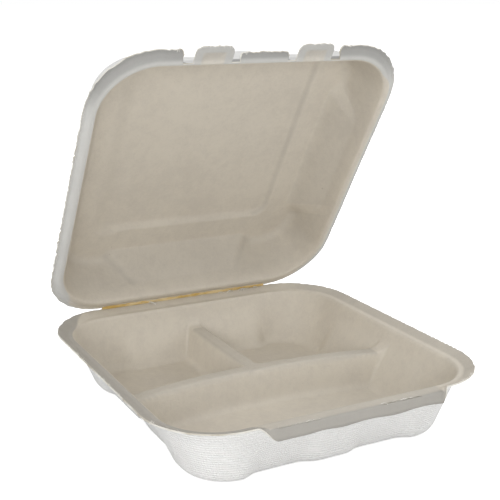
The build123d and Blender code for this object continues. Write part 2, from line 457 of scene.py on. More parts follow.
    def foot_line(
        self, side: Side, place: np.ndarray, flat: float
    ) -> tuple[np.ndarray, np.ndarray]:
        """Where a side's columns meet the floor.

        Args:
            side: The side.
            place: The columns' stations at the mouth.
            flat: Half the straight run at the floor.

        Returns:
            Their stations at the floor, and how far the facets step in there.
        """
        run, pilaster = self.facet_run, self.pilaster_half
        depth, at_mouth, at_floor = self.facet(side)
        mouth = [self.straight_half, at_mouth + run, at_mouth]
        foot = [flat, at_floor + run, at_floor]
        step = [0.0, 0.0, depth]
        if side is Side.FRONT:
            mouth += [pilaster + run, pilaster]
            foot += [pilaster + run, pilaster]
            step += [depth, 0.0]
        marks, feet = (np.array([-value for value in half] + half[::-1]) for half in (mouth, foot))
        steps = np.array(step + step[::-1])
        at_foot = np.interp(place, marks, feet)
        reach = np.minimum(self.crease_round, np.maximum(flat - np.abs(at_foot), 0.0))
        taps = np.linspace(-1, 1, 13)
        step_in = sum(np.interp(at_foot + tap * reach, feet, steps) for tap in taps) / len(taps)
        return at_foot, step_in

    def rim_marks(self, cols: Columns) -> tuple[np.ndarray, np.ndarray, np.ndarray]:
        """The rim's sharp points for each column: its edge, its middle and the ledge's edge.

        Args:
            cols: The columns.

        Returns:
            Three rows of points (x, y, depth).
        """
        x, y = cols["mouth"][:, 0], cols["mouth"][:, 1]
        width = cols["width"] + self.ragged * ripple(x, y, self.ragged_wave, self.seed)
        ledge = np.zeros((len(width), 3))
        ledge[:, :2] = cols["mouth"] + cols["out"] * self.ledge
        edge = ledge.copy()
        edge[:, :2] += cols["out"] * width[:, None]
        edge[:, 2] = self.flange_slope * width
        return edge, (edge + ledge) / 2, ledge

    def rings(self, cols: Columns) -> np.ndarray:
        """The rows of points from the trimmed edge to the core, once round each.

        Args:
            cols: The columns.

        Returns:
            An array of rows, columns and (x, y, depth).
        """
        marks = list(self.rim_marks(cols))
        for key, depth in (
            ("mouth", 0.0),
            ("shoulder", self.shoulder),
            ("foot", self.depth),
            ("core", self.depth),
        ):
            marks.append(np.column_stack([cols[key], np.full(len(cols[key]), depth)]))
        rounds = (
            self.ledge_round,
            self.ledge_round,
            self.mouth_round,
            self.shoulder_round,
            self.foot_round,
        )
        rows = [marks[0]]
        for k, radius in enumerate(rounds):
            before, corner, after = marks[k : k + 3]
            near, far = toward(corner, before, radius), toward(corner, after, radius)
            rows += straight(rows[-1], near, FLAT_ROWS[k])
            rows += bend(near, corner, far, BEND_ROWS[k])
        return np.stack(rows + straight(rows[-1], marks[-1], CORE_ROWS))

    def middle(self, ring: np.ndarray, nx: int, ny: int) -> np.ndarray:
        """The square grid inside the last ring.

        Args:
            ring: The last ring's points.
            nx: Cells from left to right.
            ny: Cells from front to back.

        Returns:
            An array of ny + 1 rows, nx + 1 columns and (x, y, depth).
        """
        front, right, back, left = ring_sides(ring, nx, ny)
        s = ((front[:, 0] - front[0, 0]) / (front[-1, 0] - front[0, 0]))[None, :, None]
        t = ((left[:, 1] - left[0, 1]) / (left[-1, 1] - left[0, 1]))[:, None, None]
        grid = (1 - t) * front[None] + t * back[None] + (1 - s) * left[:, None] + s * right[:, None]
        grid -= (1 - s) * (1 - t) * front[0] + s * (1 - t) * front[-1]
        grid -= (1 - s) * t * back[0] + s * t * back[-1]
        return self.steer(grid)

    def trimmed_line(self, low: float, high: float) -> np.ndarray:
        """Points on the trimmed edge, for the columns that face between two shares of the way back.

        Args:
            low: The least outward step towards the hinge, from -1 to 1.
            high: The most.

        Returns:
            The points in the model's frame, in order.
        """
        cols = self.columns()
        edge = self.rings(cols)[0]
        kept = (cols["out"][:, 1] >= low) & (cols["out"][:, 1] <= high)
        return self.place(edge[kept])

    def build(self) -> SheetMesh:
        """Builds the closed sheet, both skins and the trimmed edges.

        Returns:
            The mesh, in the model's frame.
        """
        cols = self.columns()
        rings = self.rings(cols)
        rows, count = rings.shape[:2]
        nx = len(self.across()) - 1 + 2 * self.arc_steps
        ny = len(self.along()) - 1 + 2 * self.arc_steps
        inner = self.middle(rings[-1], nx, ny)[1:-1, 1:-1].reshape(-1, 3)
        points = np.concatenate([rings.reshape(-1, 3), inner])
        points[:, 2] = self.lift(points[:, 0], points[:, 1], points[:, 2])
        walls, floor = self.cells(cols, rows, nx, ny)
        pattern = np.concatenate([self.wall_pattern(cols, rings)[walls], points[floor][:, :, :2]])
        length = self.way_round(cols)[-1]
        across = pattern[: len(walls), :, 0]
        wraps = across.max(axis=1) - across.min(axis=1) > length / 2
        across += np.where(wraps[:, None] & (across < length / 2), length, 0.0)
        ringed = rows * count
        row_of = np.full(len(points), float(rows))
        row_of[:ringed] = np.repeat(np.arange(rows), count)
        rim = np.zeros(len(points))
        rim[:ringed] = np.clip(np.tile(self.rim_rows(cols), rows) - row_of[:ringed] + 0.5, 0, 1)
        rim *= 1 - self.bare(points[:, 0], points[:, 1])
        zones = np.stack([rim, *self.painted_shades(cols, row_of, points)], 1)
        return self.thicken(points, np.concatenate([walls, floor]), pattern, zones)

    def cells(self, cols: Columns, rows: int, nx: int, ny: int) -> tuple[np.ndarray, np.ndarray]:
        """The inner skin's faces of four corners each.

        Args:
            cols: The columns.
            rows: How many rings of points there are.
            nx: Cells of the middle grid from left to right.
            ny: Its cells from front to back.

        Returns:
            The faces between the rings, and those of the middle grid.
        """
        count = len(cols["station"])
        index = np.arange(rows * count).reshape(rows, count)
        walls = []
        for row in range(rows - 1):
            a, b = index[row], index[row + 1]
            quads = np.stack([a, np.roll(a, -1), np.roll(b, -1), b], 1)
            walls.append(quads[~self.missing(cols, row)])
        square = np.zeros((ny + 1, nx + 1), int)
        square[0], square[:, -1], square[-1], square[:, 0] = ring_sides(index[-1], nx, ny)
        square[1:-1, 1:-1] = rows * count + np.arange((ny - 1) * (nx - 1)).reshape(ny - 1, nx - 1)
        corners = [square[:-1, :-1], square[:-1, 1:], square[1:, 1:], square[1:, :-1]]
        return np.concatenate(walls), np.stack(corners, -1).reshape(-1, 4)

    def way_round(self, cols: Columns) -> np.ndarray:
        """How far each column lies round the mouth from the first, and the whole way last."""
        steps = np.diff(cols["mouth"], axis=0, append=cols["mouth"][:1])
        return np.concatenate([[0], np.cumsum(np.linalg.norm(steps, axis=1))])

    def wall_pattern(self, cols: Columns, rings: np.ndarray) -> np.ndarray:
        """Flat coordinates for the mould's mesh: round the mouth, and down from it.

        Args:
            cols: The columns.
            rings: The rings of points.

        Returns:
            Two coordinates for each point of the rings.
        """
        down = np.zeros(rings.shape[:2])
        down[1:] = np.cumsum(np.linalg.norm(np.diff(rings, axis=0), axis=2), axis=0)
        down -= down[Row.MOUTH]
        return np.stack([np.tile(self.way_round(cols)[:-1], len(rings)), down.ravel()], 1)

    def thicken(
        self, points: np.ndarray, cells: np.ndarray, pattern: np.ndarray, zones: np.ndarray
    ) -> SheetMesh:
        """Gives the inner skin its outer skin and closes every edge between them.

        Args:
            points: The inner skin's points (x, y, depth).
            cells: Its faces of four corners each.
            pattern: The skin's own flat coordinates, at each face's corners.
            zones: How far each point belongs to the rim, and its painted shade on either skin.

        Returns:
            The closed mesh, in the model's frame.
        """
        used = np.unique(cells)
        renumber = np.full(len(points), -1)
        renumber[used] = np.arange(len(used))
        cells = renumber[cells]
        points, zones = points[used], zones[used]
        diagonal = points[cells[:, 2]] - points[cells[:, 0]]
        other = points[cells[:, 3]] - points[cells[:, 1]]
        facing = np.cross(diagonal, other)
        normal = np.zeros_like(points)
        for k in range(4):
            np.add.at(normal, cells[:, k], facing)
        normal /= np.maximum(np.linalg.norm(normal, axis=1, keepdims=True), 1e-12)
        if np.sum(facing[:, 2]) > 0:
            normal = -normal
        outer = points - normal * self.wall
        count = len(points)
        both = np.concatenate([self.place(points), self.place(outer)])
        starts = cells.ravel()
        ends = np.roll(cells, -1, axis=1).ravel()
        alone = ~np.isin(starts * count + ends, ends * count + starts)
        a, b = starts[alone], ends[alone]
        walls = np.stack([b, a, a + count, b + count], 1)
        faces = np.concatenate([cells, cells[:, ::-1] + count, walls])
        starting = pattern.reshape(-1, 2)[alone]
        ending = np.roll(pattern, -1, axis=1).reshape(-1, 2)[alone]
        edges = np.stack([ending, starting, starting, ending], 1)
        drawn = np.concatenate([pattern, pattern[:, ::-1], edges])
        p, q, r, s = both[faces].transpose(1, 0, 2)
        volume = np.einsum("ij,ij->i", p, np.cross(q, r) + np.cross(r, s)).sum()
        if volume < 0:
            faces, drawn = faces[:, ::-1], drawn[:, ::-1]
        skins = np.repeat(
            [Skin.INSIDE.value, Skin.OUTSIDE.value, Skin.TRIMMED.value],
            [len(cells), len(cells), len(walls)],
        )
        rim, painted_shade_and_stain = np.tile(zones[:, 0], 2), zones[:, 1:].T.ravel()
        return SheetMesh(both, faces.tolist(), skins, drawn.reshape(-1, 2) * MM, rim, painted_shade_and_stain)


@dataclass
class Tray(MouldedPan):
    """The tray: three compartments, and a lock lip with two slits on its front edge."""

    flange: float = 7.0
    hinge_line: float = 114.0
    ledge_z: float = 39.2
    rib_top: float = 24.0
    rib_half: float = 4.7
    rib_draft: float = 15.0
    rib_shoulder: float = 1.8
    rib_root: float = 5.0
    rib_middle_y: float = 5.0
    rib_bow: float = 390.0
    rib_reach: float = 92.0
    rib_blend: float = 5.0
    rib_fillet: float = 7.0
    lip_left: float = -64.0
    lip_left_full: float = -50.0
    lip_right_full: float = 65.5
    lip_right: float = 68.0
    fold_out: float = 6.5
    lip_drop: float = 6.6
    lip_lean: float = 1.8
    lip_wave: float = 24.0
    lip_waver: float = 0.5
    fold_waver: float = 0.15
    slit_half: float = 14.0
    slit_place: float = 36.0
    film_inset: float = 0.5
    film_lift: float = 0.15
    facet_ends: tuple[float, float] = (47.0, 52.5)
    front_facet_ends: tuple[float, float] = (47.0, 52.5)
    facet_run: float = 7.5
    facet_zone: tuple[float, float] = (46.0, 56.0)
    short_rib_zone: float = 18.0
    long_rib_zone: tuple[float, float] = (-24.0, 10.0)
    crease_round: float = 3.4
    sag: float = 0.18
    # Painted shade darkens the ribs' tops, the right flange and the ledge behind the lip; the lip
    # itself is darkened too.
    rib_top_shade: float = 0.24
    rib_top_fade: tuple[float, float] = (1.6, 0.4)
    rib_edge: float = 0.4
    lip_darkening: float = 0.22
    right_flange_shade: Band = Band(0.25, fall=(9.0, 11.0))
    front_ledge_shade: Band = Band(0.25, fall=(15.0, 18.0))
    seed: int = 11

    def across(self) -> np.ndarray:
        """Stations along the front and the back, close together by the short rib and the lip.

        Returns:
            The stations, in order.
        """
        near, far = self.slit_place - self.slit_half, self.slit_place + self.slit_half
        low, high = self.facet_zone
        rib = self.short_rib_zone
        return stations(
            -self.straight_half,
            (self.lip_left, 1.8),
            (-high, 1.4),
            (self.lip_left_full, 1.0),
            (-low, 1.0),
            (-near, 2.2),
            (-rib, 1.6),
            (rib, 0.95),
            (near, 1.6),
            (low, 2.2),
            (far, 1.0),
            (high, 1.0),
            (self.lip_right_full, 1.8),
            (self.lip_right, 0.5),
            (self.straight_half, 0.5),
        )

    def along(self) -> np.ndarray:
        """Stations along the left and the right side, close together by the long rib's ends.

        Returns:
            The stations, in order.
        """
        low, high = self.facet_zone
        front, back = self.long_rib_zone
        return stations(
            -self.straight_half,
            (-high, 2.0),
            (-low, 1.0),
            (front, 2.2),
            (back, 0.9),
            (low, 2.2),
            (high, 1.0),
            (self.straight_half, 2.0),
        )

    def flange_width(self, side: Side, place: np.ndarray, angle: np.ndarray) -> np.ndarray:
        """The flange's width, cut straight along the hinge.

        Args:
            side: The side.
            place: The columns' stations.
            angle: How far round a corner each faces.

        Returns:
            The width of each column's flange.
        """
        width = np.full(len(place), self.flange)
        near = self.opening - self.straight_half + self.ledge
        reach = self.hinge_line - self.straight_half
        if side is Side.BACK:
            width = np.minimum(width, reach / np.cos(angle) - near)
        if not side.runs_across:
            toward_back = angle > 0 if side is Side.RIGHT else angle < 0
            limit = reach / np.maximum(np.sin(np.abs(angle)), CLOSE) - near
            width = np.where(toward_back, np.minimum(width, limit), width)
        return width

    def rim_marks(self, cols: Columns) -> tuple[np.ndarray, np.ndarray, np.ndarray]:
        """The rim's sharp points, with the flange turned down into the lip along the front.

        Args:
            cols: The columns.

        Returns:
            Three rows of points (x, y, depth).
        """
        edge, middle, ledge = super().rim_marks(cols)
        place = cols["station"]
        share = self.lip_share(cols)[:, None]
        wave = ripple(place, place * 0, self.lip_wave, self.seed + 3)
        fold = ledge.copy()
        fold[:, 1] = -(self.opening + self.ledge + self.fold_out) + self.fold_waver * wave
        hang = fold.copy()
        hang[:, 1] -= self.lip_lean
        hang[:, 2] = self.lip_drop + self.lip_waver * wave
        return edge + (hang - edge) * share, middle + (fold - middle) * share, ledge

    def missing(self, cols: Columns, row: int) -> np.ndarray:
        """The two slits, cut just behind the fold of the lip.

        Args:
            cols: The columns.
            row: The row of cells.

        Returns:
            Which of the row's cells are cut away.
        """
        middle_of_cell = (cols["station"] + np.roll(cols["station"], -1)) / 2
        near = np.abs(np.abs(middle_of_cell) - self.slit_place) < self.slit_half
        return near & (cols["side"] == Side.FRONT.value) & (row == Row.SLIT)

    def lip_share(self, cols: Columns) -> np.ndarray:
        """How far each column belongs to the lip.

        Args:
            cols: The columns.

        Returns:
            Shares from 0 to 1.
        """
        place = cols["station"]
        share = smooth_step(self.lip_left, self.lip_left_full, place)
        share = share * (1 - smooth_step(self.lip_right_full, self.lip_right, place))
        return np.where(cols["side"] == Side.FRONT.value, share, 0.0)

    def rim_rows(self, cols: Columns) -> np.ndarray:
        """The left side's flange and the lip are greyer than the rest of the rim; on the left
        flange this grey is painted shade.

        Args:
            cols: The columns.

        Returns:
            How many rows in from the edge have the rim's colour.
        """
        out_x, out_y = cols["out"][:, 0], cols["out"][:, 1]
        left = np.where(out_y > 0, smooth_step(0.3, 0.8, -out_x), 1.0) * (out_x <= CLOSE)
        left = np.where(cols["station"] > 0, left * (cols["side"] != Side.FRONT.value), left)
        share = self.lip_share(cols)
        return np.maximum(self.rim_band * left * (1 - share), float(Row.FOLD) * share)

    def painted_shades(
        self, cols: Columns, rows: np.ndarray, points: np.ndarray
    ) -> tuple[np.ndarray, np.ndarray]:
        """Darkens the lip, and paints shade on the right flange, the ledge behind the lip and the
        ribs' tops.

        Args:
            cols: The columns.
            rows: The row of each point.
            points: The points (x, y, depth).

        Returns:
            The inner skin's and the outer skin's painted shade.
        """
        inner, outer = super().painted_shades(cols, rows, points)
        rings = int(rows.max())
        ringed = slice(0, len(cols["station"]) * rings)
        row = rows[ringed]
        lip = np.tile(self.lip_share(cols), rings)
        right = np.tile(smooth_step(0.2, 0.8, cols["out"][:, 0]), rings)
        # The lip is darkened; the right flange and the ledge behind the lip get painted shade.
        inner[ringed] = self.lip_darkening * lip * (row < Row.FOLD)
        inner[ringed] += right * self.right_flange_shade.over(row)
        inner[ringed] += lip * (row >= Row.FOLD) * self.front_ledge_shade.over(row)
        # Painted shade on the ribs' flat tops, which face up: the mask below marks them.
        x, y, depth = points.T
        over_top = np.abs(depth - (self.depth - self.rib_top + self.wall))
        inside = (np.abs(x) < self.rib_reach) & (np.abs(y) < self.rib_reach) & (rows > Row.WALL)
        near = np.minimum(*self.rib_distances(x, y)) < self.rib_half + self.rib_edge
        pressed = smooth_step(*self.rib_top_fade, over_top) * inside * near
        return inner + self.rib_top_shade * pressed, outer

    def fold_line(self) -> np.ndarray:
        """Points along the slits behind the lip's fold.

        Returns:
            The points in the model's frame, in order.
        """
        reach = np.linspace(-self.slit_half, self.slit_half, 20)
        xs = np.concatenate([reach - self.slit_place, reach + self.slit_place])
        y = -(self.opening + self.ledge + self.fold_out) + self.film_inset
        return self.place(np.stack([xs, xs * 0 + y, xs * 0 - self.film_lift], 1))

    def rib_section(self, distance: np.ndarray) -> np.ndarray:
        """The height of a rib over the floor, with a rounded shoulder and root.

        Args:
            distance: How far each point lies from the rib's middle line.

        Returns:
            The heights.
        """
        slope = 1 / math.tan(math.radians(self.rib_draft))
        height = self.rib_top - self.wall
        foot = self.rib_half + height / slope
        shoulder = self.rib_shoulder / math.hypot(1, slope)
        root = self.rib_root / math.hypot(1, slope)
        rounds = (
            (
                (self.rib_half - self.rib_shoulder, 0.0),
                (self.rib_half, 0.0),
                (self.rib_half + shoulder, -shoulder * slope),
            ),
            (
                (foot - root, -height + root * slope),
                (foot, -height),
                (foot + self.rib_root, -height),
            ),
        )
        t = np.linspace(0, 1, 12)
        outline = [(0.0, 0.0)]
        for start, corner, end in rounds:
            xs, ys = (
                (1 - t) ** 2 * start[k] + 2 * t * (1 - t) * corner[k] + t * t * end[k]
                for k in range(2)
            )
            outline += list(zip(xs, ys))
        xs, ys = zip(*outline)
        return np.interp(distance, xs, ys) + height

    def rib_distances(self, x: np.ndarray, y: np.ndarray) -> tuple[np.ndarray, np.ndarray]:
        """How far points lie from the middle lines of the long rib and the short rib."""
        long_way = np.abs(np.hypot(x, y + self.rib_bow - self.rib_middle_y) - self.rib_bow)
        return long_way, np.hypot(x, np.minimum(y - self.rib_middle_y, 0.0))

    def lift(self, x: np.ndarray, y: np.ndarray, depth: np.ndarray) -> np.ndarray:
        """Adds the two ribs: a bowed one across, and one from there to the back.

        Args:
            x: The points' places across.
            y: Their places from front to back.
            depth: Their depths in the plain pan.

        Returns:
            Their depths with the ribs, and with the floor a little uneven.
        """
        long_way, short_way = self.rib_distances(x, y)
        soft = self.rib_blend
        join = np.maximum(soft - np.abs(long_way - short_way), 0) / soft
        distance = np.minimum(long_way, short_way) - join * join * soft / 4
        rib = self.rib_section(np.maximum(distance, 0))
        sag = -self.sag * np.abs(ripple(x, y, 60.0, self.seed + 5)) * smooth_step(0.0, 4.0, depth)
        in_pan = np.maximum(np.abs(x), np.abs(y)) < self.opening - 0.3
        ribbed = self.depth - round_max(self.depth - depth, rib, self.rib_fillet)
        return np.where(in_pan, ribbed, depth) + sag

    def steer(self, grid: np.ndarray) -> np.ndarray:
        """Leads the grid's lines along the bowed rib.

        Args:
            grid: The middle grid.

        Returns:
            The grid with its rows bowed.
        """
        x, y = grid[:, :, 0], grid[:, :, 1]
        half = np.max(np.abs(x))
        end_y = self.rib_middle_y - half * half / (2 * self.rib_bow)
        bow = (self.rib_middle_y - end_y) * (1 - (x / half) ** 2)
        fade = np.clip(1 - ((y - end_y) / (np.max(np.abs(y)) - abs(end_y))) ** 2, 0, 1)
        grid = grid.copy()
        grid[:, :, 1] = y + bow * fade
        return grid

    def place(self, points: np.ndarray) -> np.ndarray:
        """The tray stands on its floor, with its mouth up."""
        x, y, depth = points.T
        return np.stack([x, y - STANCE, self.ledge_z - depth], 1)


@dataclass
class Lid(MouldedPan):
    """The lid: a domed pan with a raised panel, a rim and two tongues, leaning open."""

    flange_slope: float = 3.3 / 7.0
    depth: float = 35.0
    shoulder: float = 12.0
    inset_x: float = 8.5
    inset_front: float = 15.5
    inset_back: float = 8.5
    facet_depth: float = 8.0
    front_facet_depth: float = 4.5
    facet_ends: tuple[float, float] = (34.0, 58.0)
    facet_zone: tuple[float, float] = (31.0, 42.0)
    crease_round: float = 4.4
    shoulder_round: float = 1.8
    reach_front: float = 114.0
    middle_trim: float = 2.5
    half_width: float = 112.3
    rim_corner: float = 41.5
    hinge_line: float = 114.0
    hinge_y: float = 114.5
    hinge_z: float = 42.7
    ledge_z: float = 39.6
    opened: float = 59.0
    panel_half_x: float = 67.0
    panel_half_y: float = 67.0
    panel_rise: float = 3.0
    panel_run: float = 3.3
    panel_soft_run: float = 9.0
    panel_front: float = 97.0
    panel_corner: float = 8.0
    panel_shift: float = -2.5
    valley_place: float = 0.66
    valley_drop: float = 1.04
    edge_drop: float = 0.94
    ragged: float = 0.32
    tongue_reach: float = 232.5
    tongue_place: float = 36.0
    tongue_half: float = 13.0
    tongue_corner: float = 4.5
    inner_notch: float = 6.0
    outer_notch: float = 7.0
    notch_corner: float = 2.6
    channel_half: float = 7.5
    channel_depth: float = 1.2
    channel_rim: float = 4.5
    channel_run: float = 1.6
    channel_bare: float = 0.7
    sag: float = 0.25
    ledge_band: float = 7.5
    # Painted shade darkens the free edge's flange and tongues, the dome's outer skin behind the
    # notches, the right and hinge walls, the valleys past the back facets' ends and the groove by
    # the panel's right edge.
    free_edge_shade: Band = Band(0.62, fall=(8.0, 13.0))
    dome_shade: Band = Band(0.78, (10.0, 13.0), (22.0, 28.0))
    wall_shade: Band = Band(0.10, (18.0, 24.0), (43.0, 47.0))
    valley_shade: Band = Band(0.16, (21.0, 27.0), (42.0, 46.0))
    tongue_shade: float = 0.3
    groove_shade: float = 0.20
    groove_zone: tuple[float, float] = (54.0, 64.0)
    valley_width: float = 2.0
    pale_width: float = 5.0
    seed: int = 37

    def notch_marks(self) -> tuple[float, float, float, float]:
        """Where the inner notch, the tongue and the outer notch begin and end, going outwards."""
        low, high = self.tongue_place - self.tongue_half, self.tongue_place + self.tongue_half
        return low - self.inner_notch, low, high, high + self.outer_notch

    def across(self) -> np.ndarray:
        """Stations along the free edge and the hinge, close together at the tongues' corners.

        Returns:
            The stations, in order.
        """
        a, b, c, d = self.notch_marks()
        near = self.tongue_corner
        ends = (0.0, a - near, a, b, b + near, c - near, c, d, d + near, self.straight_half)
        pitches = (1.6, 0.6, 1.5, 0.6, 1.4, 0.6, 1.5, 0.6, 1.6)
        left = zip([-end for end in ends[-2::-1]], pitches[::-1])
        return stations(-self.straight_half, *left, *zip(ends[1:], pitches))

    def along(self) -> np.ndarray:
        """Stations along the left and the right side, close together by the facets' ends.

        Returns:
            The stations, in order.
        """
        low, high = self.facet_zone
        half = self.straight_half
        return stations(-half, (-high, 1.8), (-low, 0.9), (low, 1.8), (high, 0.9), (half, 1.8))

    def flange_width(self, side: Side, place: np.ndarray, angle: np.ndarray) -> np.ndarray:
        """The flange's width up to the lid's outline, with the tongues and rounded notch ends.

        Args:
            side: The side.
            place: The columns' stations.
            angle: How far round a corner each faces.

        Returns:
            The width of each column's flange.
        """
        width = self.rim_reach(side, place, angle)
        width = width - (self.opening + self.ledge - self.straight_half)
        if side is not Side.FRONT:
            return width
        a, b, c, d = self.notch_marks()
        far = np.abs(place)
        width = np.where(far <= a + CLOSE, width - self.middle_trim, width)
        for inward in (a - far, far - d):
            beside = (inward >= -CLOSE) & (inward < self.notch_corner)
            width = np.where(beside, width - rounded_off(inward, self.notch_corner), width)
        full = self.tongue_reach - self.hinge_y - self.opening - self.ledge
        tongue = full - rounded_off(np.minimum(far - b, c - far), self.tongue_corner)
        return np.where((far >= b - CLOSE) & (far <= c + CLOSE), tongue, width)

    def rim_reach(self, side: Side, place: np.ndarray, angle: np.ndarray) -> np.ndarray:
        """How far the lid's outline lies from the square that the corners are struck from.

        Args:
            side: The side.
            place: The columns' stations.
            angle: How far round a corner each faces.

        Returns:
            The distance, along each column's way out.
        """
        way = np.stack([np.sin(angle), -np.cos(angle)], 1) @ side.spin
        start = front_points(place, self.straight_half) @ side.spin
        centre_x = np.sign(start[:, 0]) * (self.half_width - self.rim_corner)
        reach_y = np.where(start[:, 1] < 0, -self.reach_front, self.hinge_line)
        centre_y = reach_y - np.sign(reach_y) * self.rim_corner
        gap = start - np.stack([centre_x, centre_y], 1)
        ahead = np.sum(gap * way, 1)
        inside = ahead**2 - np.sum(gap * gap, 1) + self.rim_corner**2
        round_corner = -ahead + np.sqrt(np.maximum(inside, 0))
        sides = {Side.FRONT: self.reach_front, Side.BACK: self.hinge_line}
        flat = sides.get(side, self.half_width) - self.straight_half
        return np.where(np.abs(angle) > 1e-9, round_corner, flat)

    def on_tongue(self, cols: Columns) -> np.ndarray:
        """Which columns belong to a tongue.

        Args:
            cols: The columns.

        Returns:
            One flag a column.
        """
        _, low, high, _ = self.notch_marks()
        far = np.abs(cols["station"])
        return (cols["side"] == Side.FRONT.value) & (far >= low - CLOSE) & (far <= high + CLOSE)

    def rim_marks(self, cols: Columns) -> tuple[np.ndarray, np.ndarray, np.ndarray]:
        """The rim's sharp points, with the tongues kept flat in the ledge's plane.

        Args:
            cols: The columns.

        Returns:
            Three rows of points (x, y, depth).
        """
        edge, _, ledge = super().rim_marks(cols)
        edge[:, 2] = np.where(self.on_tongue(cols), 0.0, edge[:, 2])
        middle = ledge + (edge - ledge) * self.valley_place
        middle[:, 2] = edge[:, 2] * self.valley_drop
        edge[:, 2] *= self.edge_drop
        return edge, middle, ledge

    def rim_rows(self, cols: Columns) -> np.ndarray:
        """The rim is pale all round but for the ledge on the right and the whole of the hinge.

        Args:
            cols: The columns.

        Returns:
            How many rows in from the edge have the rim's colour.
        """
        out_x, out_y = cols["out"][:, 0], cols["out"][:, 1]
        right = np.where(out_y > 0.05, out_x > 0, smooth_step(0.75, 0.98, out_x))
        hinge = np.where(out_y > 0, smooth_step(0.55, 0.95, out_y), 0.0)
        return (self.rim_band - self.ledge_band * right) * (1 - hinge)

    def painted_shades(
        self, cols: Columns, rows: np.ndarray, points: np.ndarray
    ) -> tuple[np.ndarray, np.ndarray]:
        """Paints shade on the free edge's flange, the dome behind its notches, the walls, the
        valleys past the facets' ends and the groove.

        Args:
            cols: The columns.
            rows: The row of each point.
            points: The points (x, y, depth).

        Returns:
            The inner skin's and the outer skin's painted shade.
        """
        inner, outer = super().painted_shades(cols, rows, points)
        rings = int(rows.max())
        ringed = slice(0, len(cols["station"]) * rings)
        row = rows[ringed]
        out_x, out_y = cols["out"][:, 0], cols["out"][:, 1]
        front = smooth_step(0.25, 0.9, -out_y + 0.35 * (out_x < -0.05))
        front = np.tile(np.where(self.on_tongue(cols), self.tongue_shade, front), rings)
        # Painted shade on the right and hinge walls and in the valleys past the facets' ends; the
        # pale spot is left without it.
        past_end = np.abs(cols["station"]) - self.facet_ends[0] - self.valley_width
        pale = (np.abs(past_end) < self.pale_width) & (out_x > 0.6) & (cols["mouth"][:, 1] > 0)
        shaded = np.where(pale, 0.0, smooth_step(0.5, 0.9, np.maximum(out_x, out_y)))
        valley = np.exp(-((past_end / self.valley_width) ** 2)) * (cols["side"] == Side.BACK.value)
        valley *= np.where(out_x + cols["mouth"][:, 0] < 0, 1.0, 0.5)
        inner[ringed] = front * self.free_edge_shade.over(row)
        inner[ringed] += np.tile(shaded, rings) * self.wall_shade.over(row)
        inner[ringed] += np.tile(valley, rings) * self.valley_shade.over(row)
        outer[ringed] = front * self.dome_shade.over(row)
        # Painted shade in the groove along the panel's right edge.
        share = self.panel_share(points[:, 0], points[:, 1])
        groove = 4 * share * (1 - share) * smooth_step(*self.groove_zone, points[:, 0])
        return inner + self.groove_shade * groove * (rows > Row.LOW_WALL), outer

    def missing(self, cols: Columns, row: int) -> np.ndarray:
        """The notches beside the tongues, cut back to the mouth of the pan.

        Args:
            cols: The columns.
            row: The row of cells.

        Returns:
            Which of the row's cells are cut away.
        """
        a, b, c, d = self.notch_marks()
        far = np.abs((cols["station"] + np.roll(cols["station"], -1)) / 2)
        notch = ((far > a) & (far < b)) | ((far > c) & (far < d))
        return notch & (cols["side"] == Side.FRONT.value) & (row < Row.MOUTH)

    def lift(self, x: np.ndarray, y: np.ndarray, depth: np.ndarray) -> np.ndarray:
        """Adds the raised panel and the tongues' channels.

        Args:
            x: The points' places across.
            y: Their places from the free edge to the hinge.
            depth: Their depths in the plain pan.

        Returns:
            Their depths with the panel and channels, and with the top a little uneven.
        """
        on_top = smooth_step(self.depth - 3.0, self.depth - 0.5, depth)
        raised = self.panel_rise * self.panel_share(x, y) * on_top
        sag = self.sag * ripple(x, y, 75.0, self.seed + 5) * smooth_step(0.0, 4.0, depth)
        return depth + raised + sag + self.channel_depth * self.pressed(x, y)

    def channel(self, x: np.ndarray, y: np.ndarray) -> tuple[np.ndarray, np.ndarray]:
        """How far points lie inside a tongue's channel: in from its sides and in from its end."""
        end = self.tongue_reach - self.hinge_y - self.channel_rim
        return self.channel_half - np.abs(np.abs(x) - self.tongue_place), end + y

    def pressed(self, x: np.ndarray, y: np.ndarray) -> np.ndarray:
        """How deep the tongues' channels are pressed.

        Args:
            x: The points' places across.
            y: Their places from the free edge to the hinge.

        Returns:
            Shares of the channels' depth, from 0 to 1.
        """
        in_side, in_end = self.channel(x, y)
        run = self.channel_run
        share = smooth_step(0.0, run, in_side) * smooth_step(0.0, run, in_end)
        return share * smooth_step(self.opening + 1.0, self.opening + self.ledge, -y)

    def bare(self, x: np.ndarray, y: np.ndarray) -> np.ndarray:
        """The tongues' channels keep the inside's colour, down to the mouth.

        Args:
            x: The points' places across.
            y: Their places from the free edge to the hinge.

        Returns:
            Shares of the inside's colour, from 0 to 1.
        """
        in_side, in_end = self.channel(x, y)
        share = smooth_step(-0.6, 0.6, in_side) * smooth_step(-0.6, 0.8, in_end)
        return self.channel_bare * share * (-y > self.opening - 3.0)

    def panel_share(self, x: np.ndarray, y: np.ndarray) -> np.ndarray:
        """How far the floor is raised into the panel; the panel's left edge is soft.

        Args:
            x: The points' places across.
            y: Their places from the free edge to the hinge.

        Returns:
            Shares from 0 to 1.
        """
        back = self.panel_half_y + self.panel_shift
        middle_y, half_y = (back - self.panel_front) / 2, (back + self.panel_front) / 2
        out_x = np.abs(x) - (self.panel_half_x - self.panel_corner)
        out_y = np.abs(y - middle_y) - (half_y - self.panel_corner)
        edge = np.hypot(np.maximum(out_x, 0), np.maximum(out_y, 0)) - self.panel_corner
        edge += np.minimum(np.maximum(out_x, out_y), 0)
        soft = smooth_step(2 * self.panel_corner, self.panel_corner, self.panel_half_x + x)
        run = self.panel_run + (self.panel_soft_run - self.panel_run) * soft
        return 1 - smooth_step(-0.5, 1.0, (edge + 0.5 * soft) / (run + 0.5))

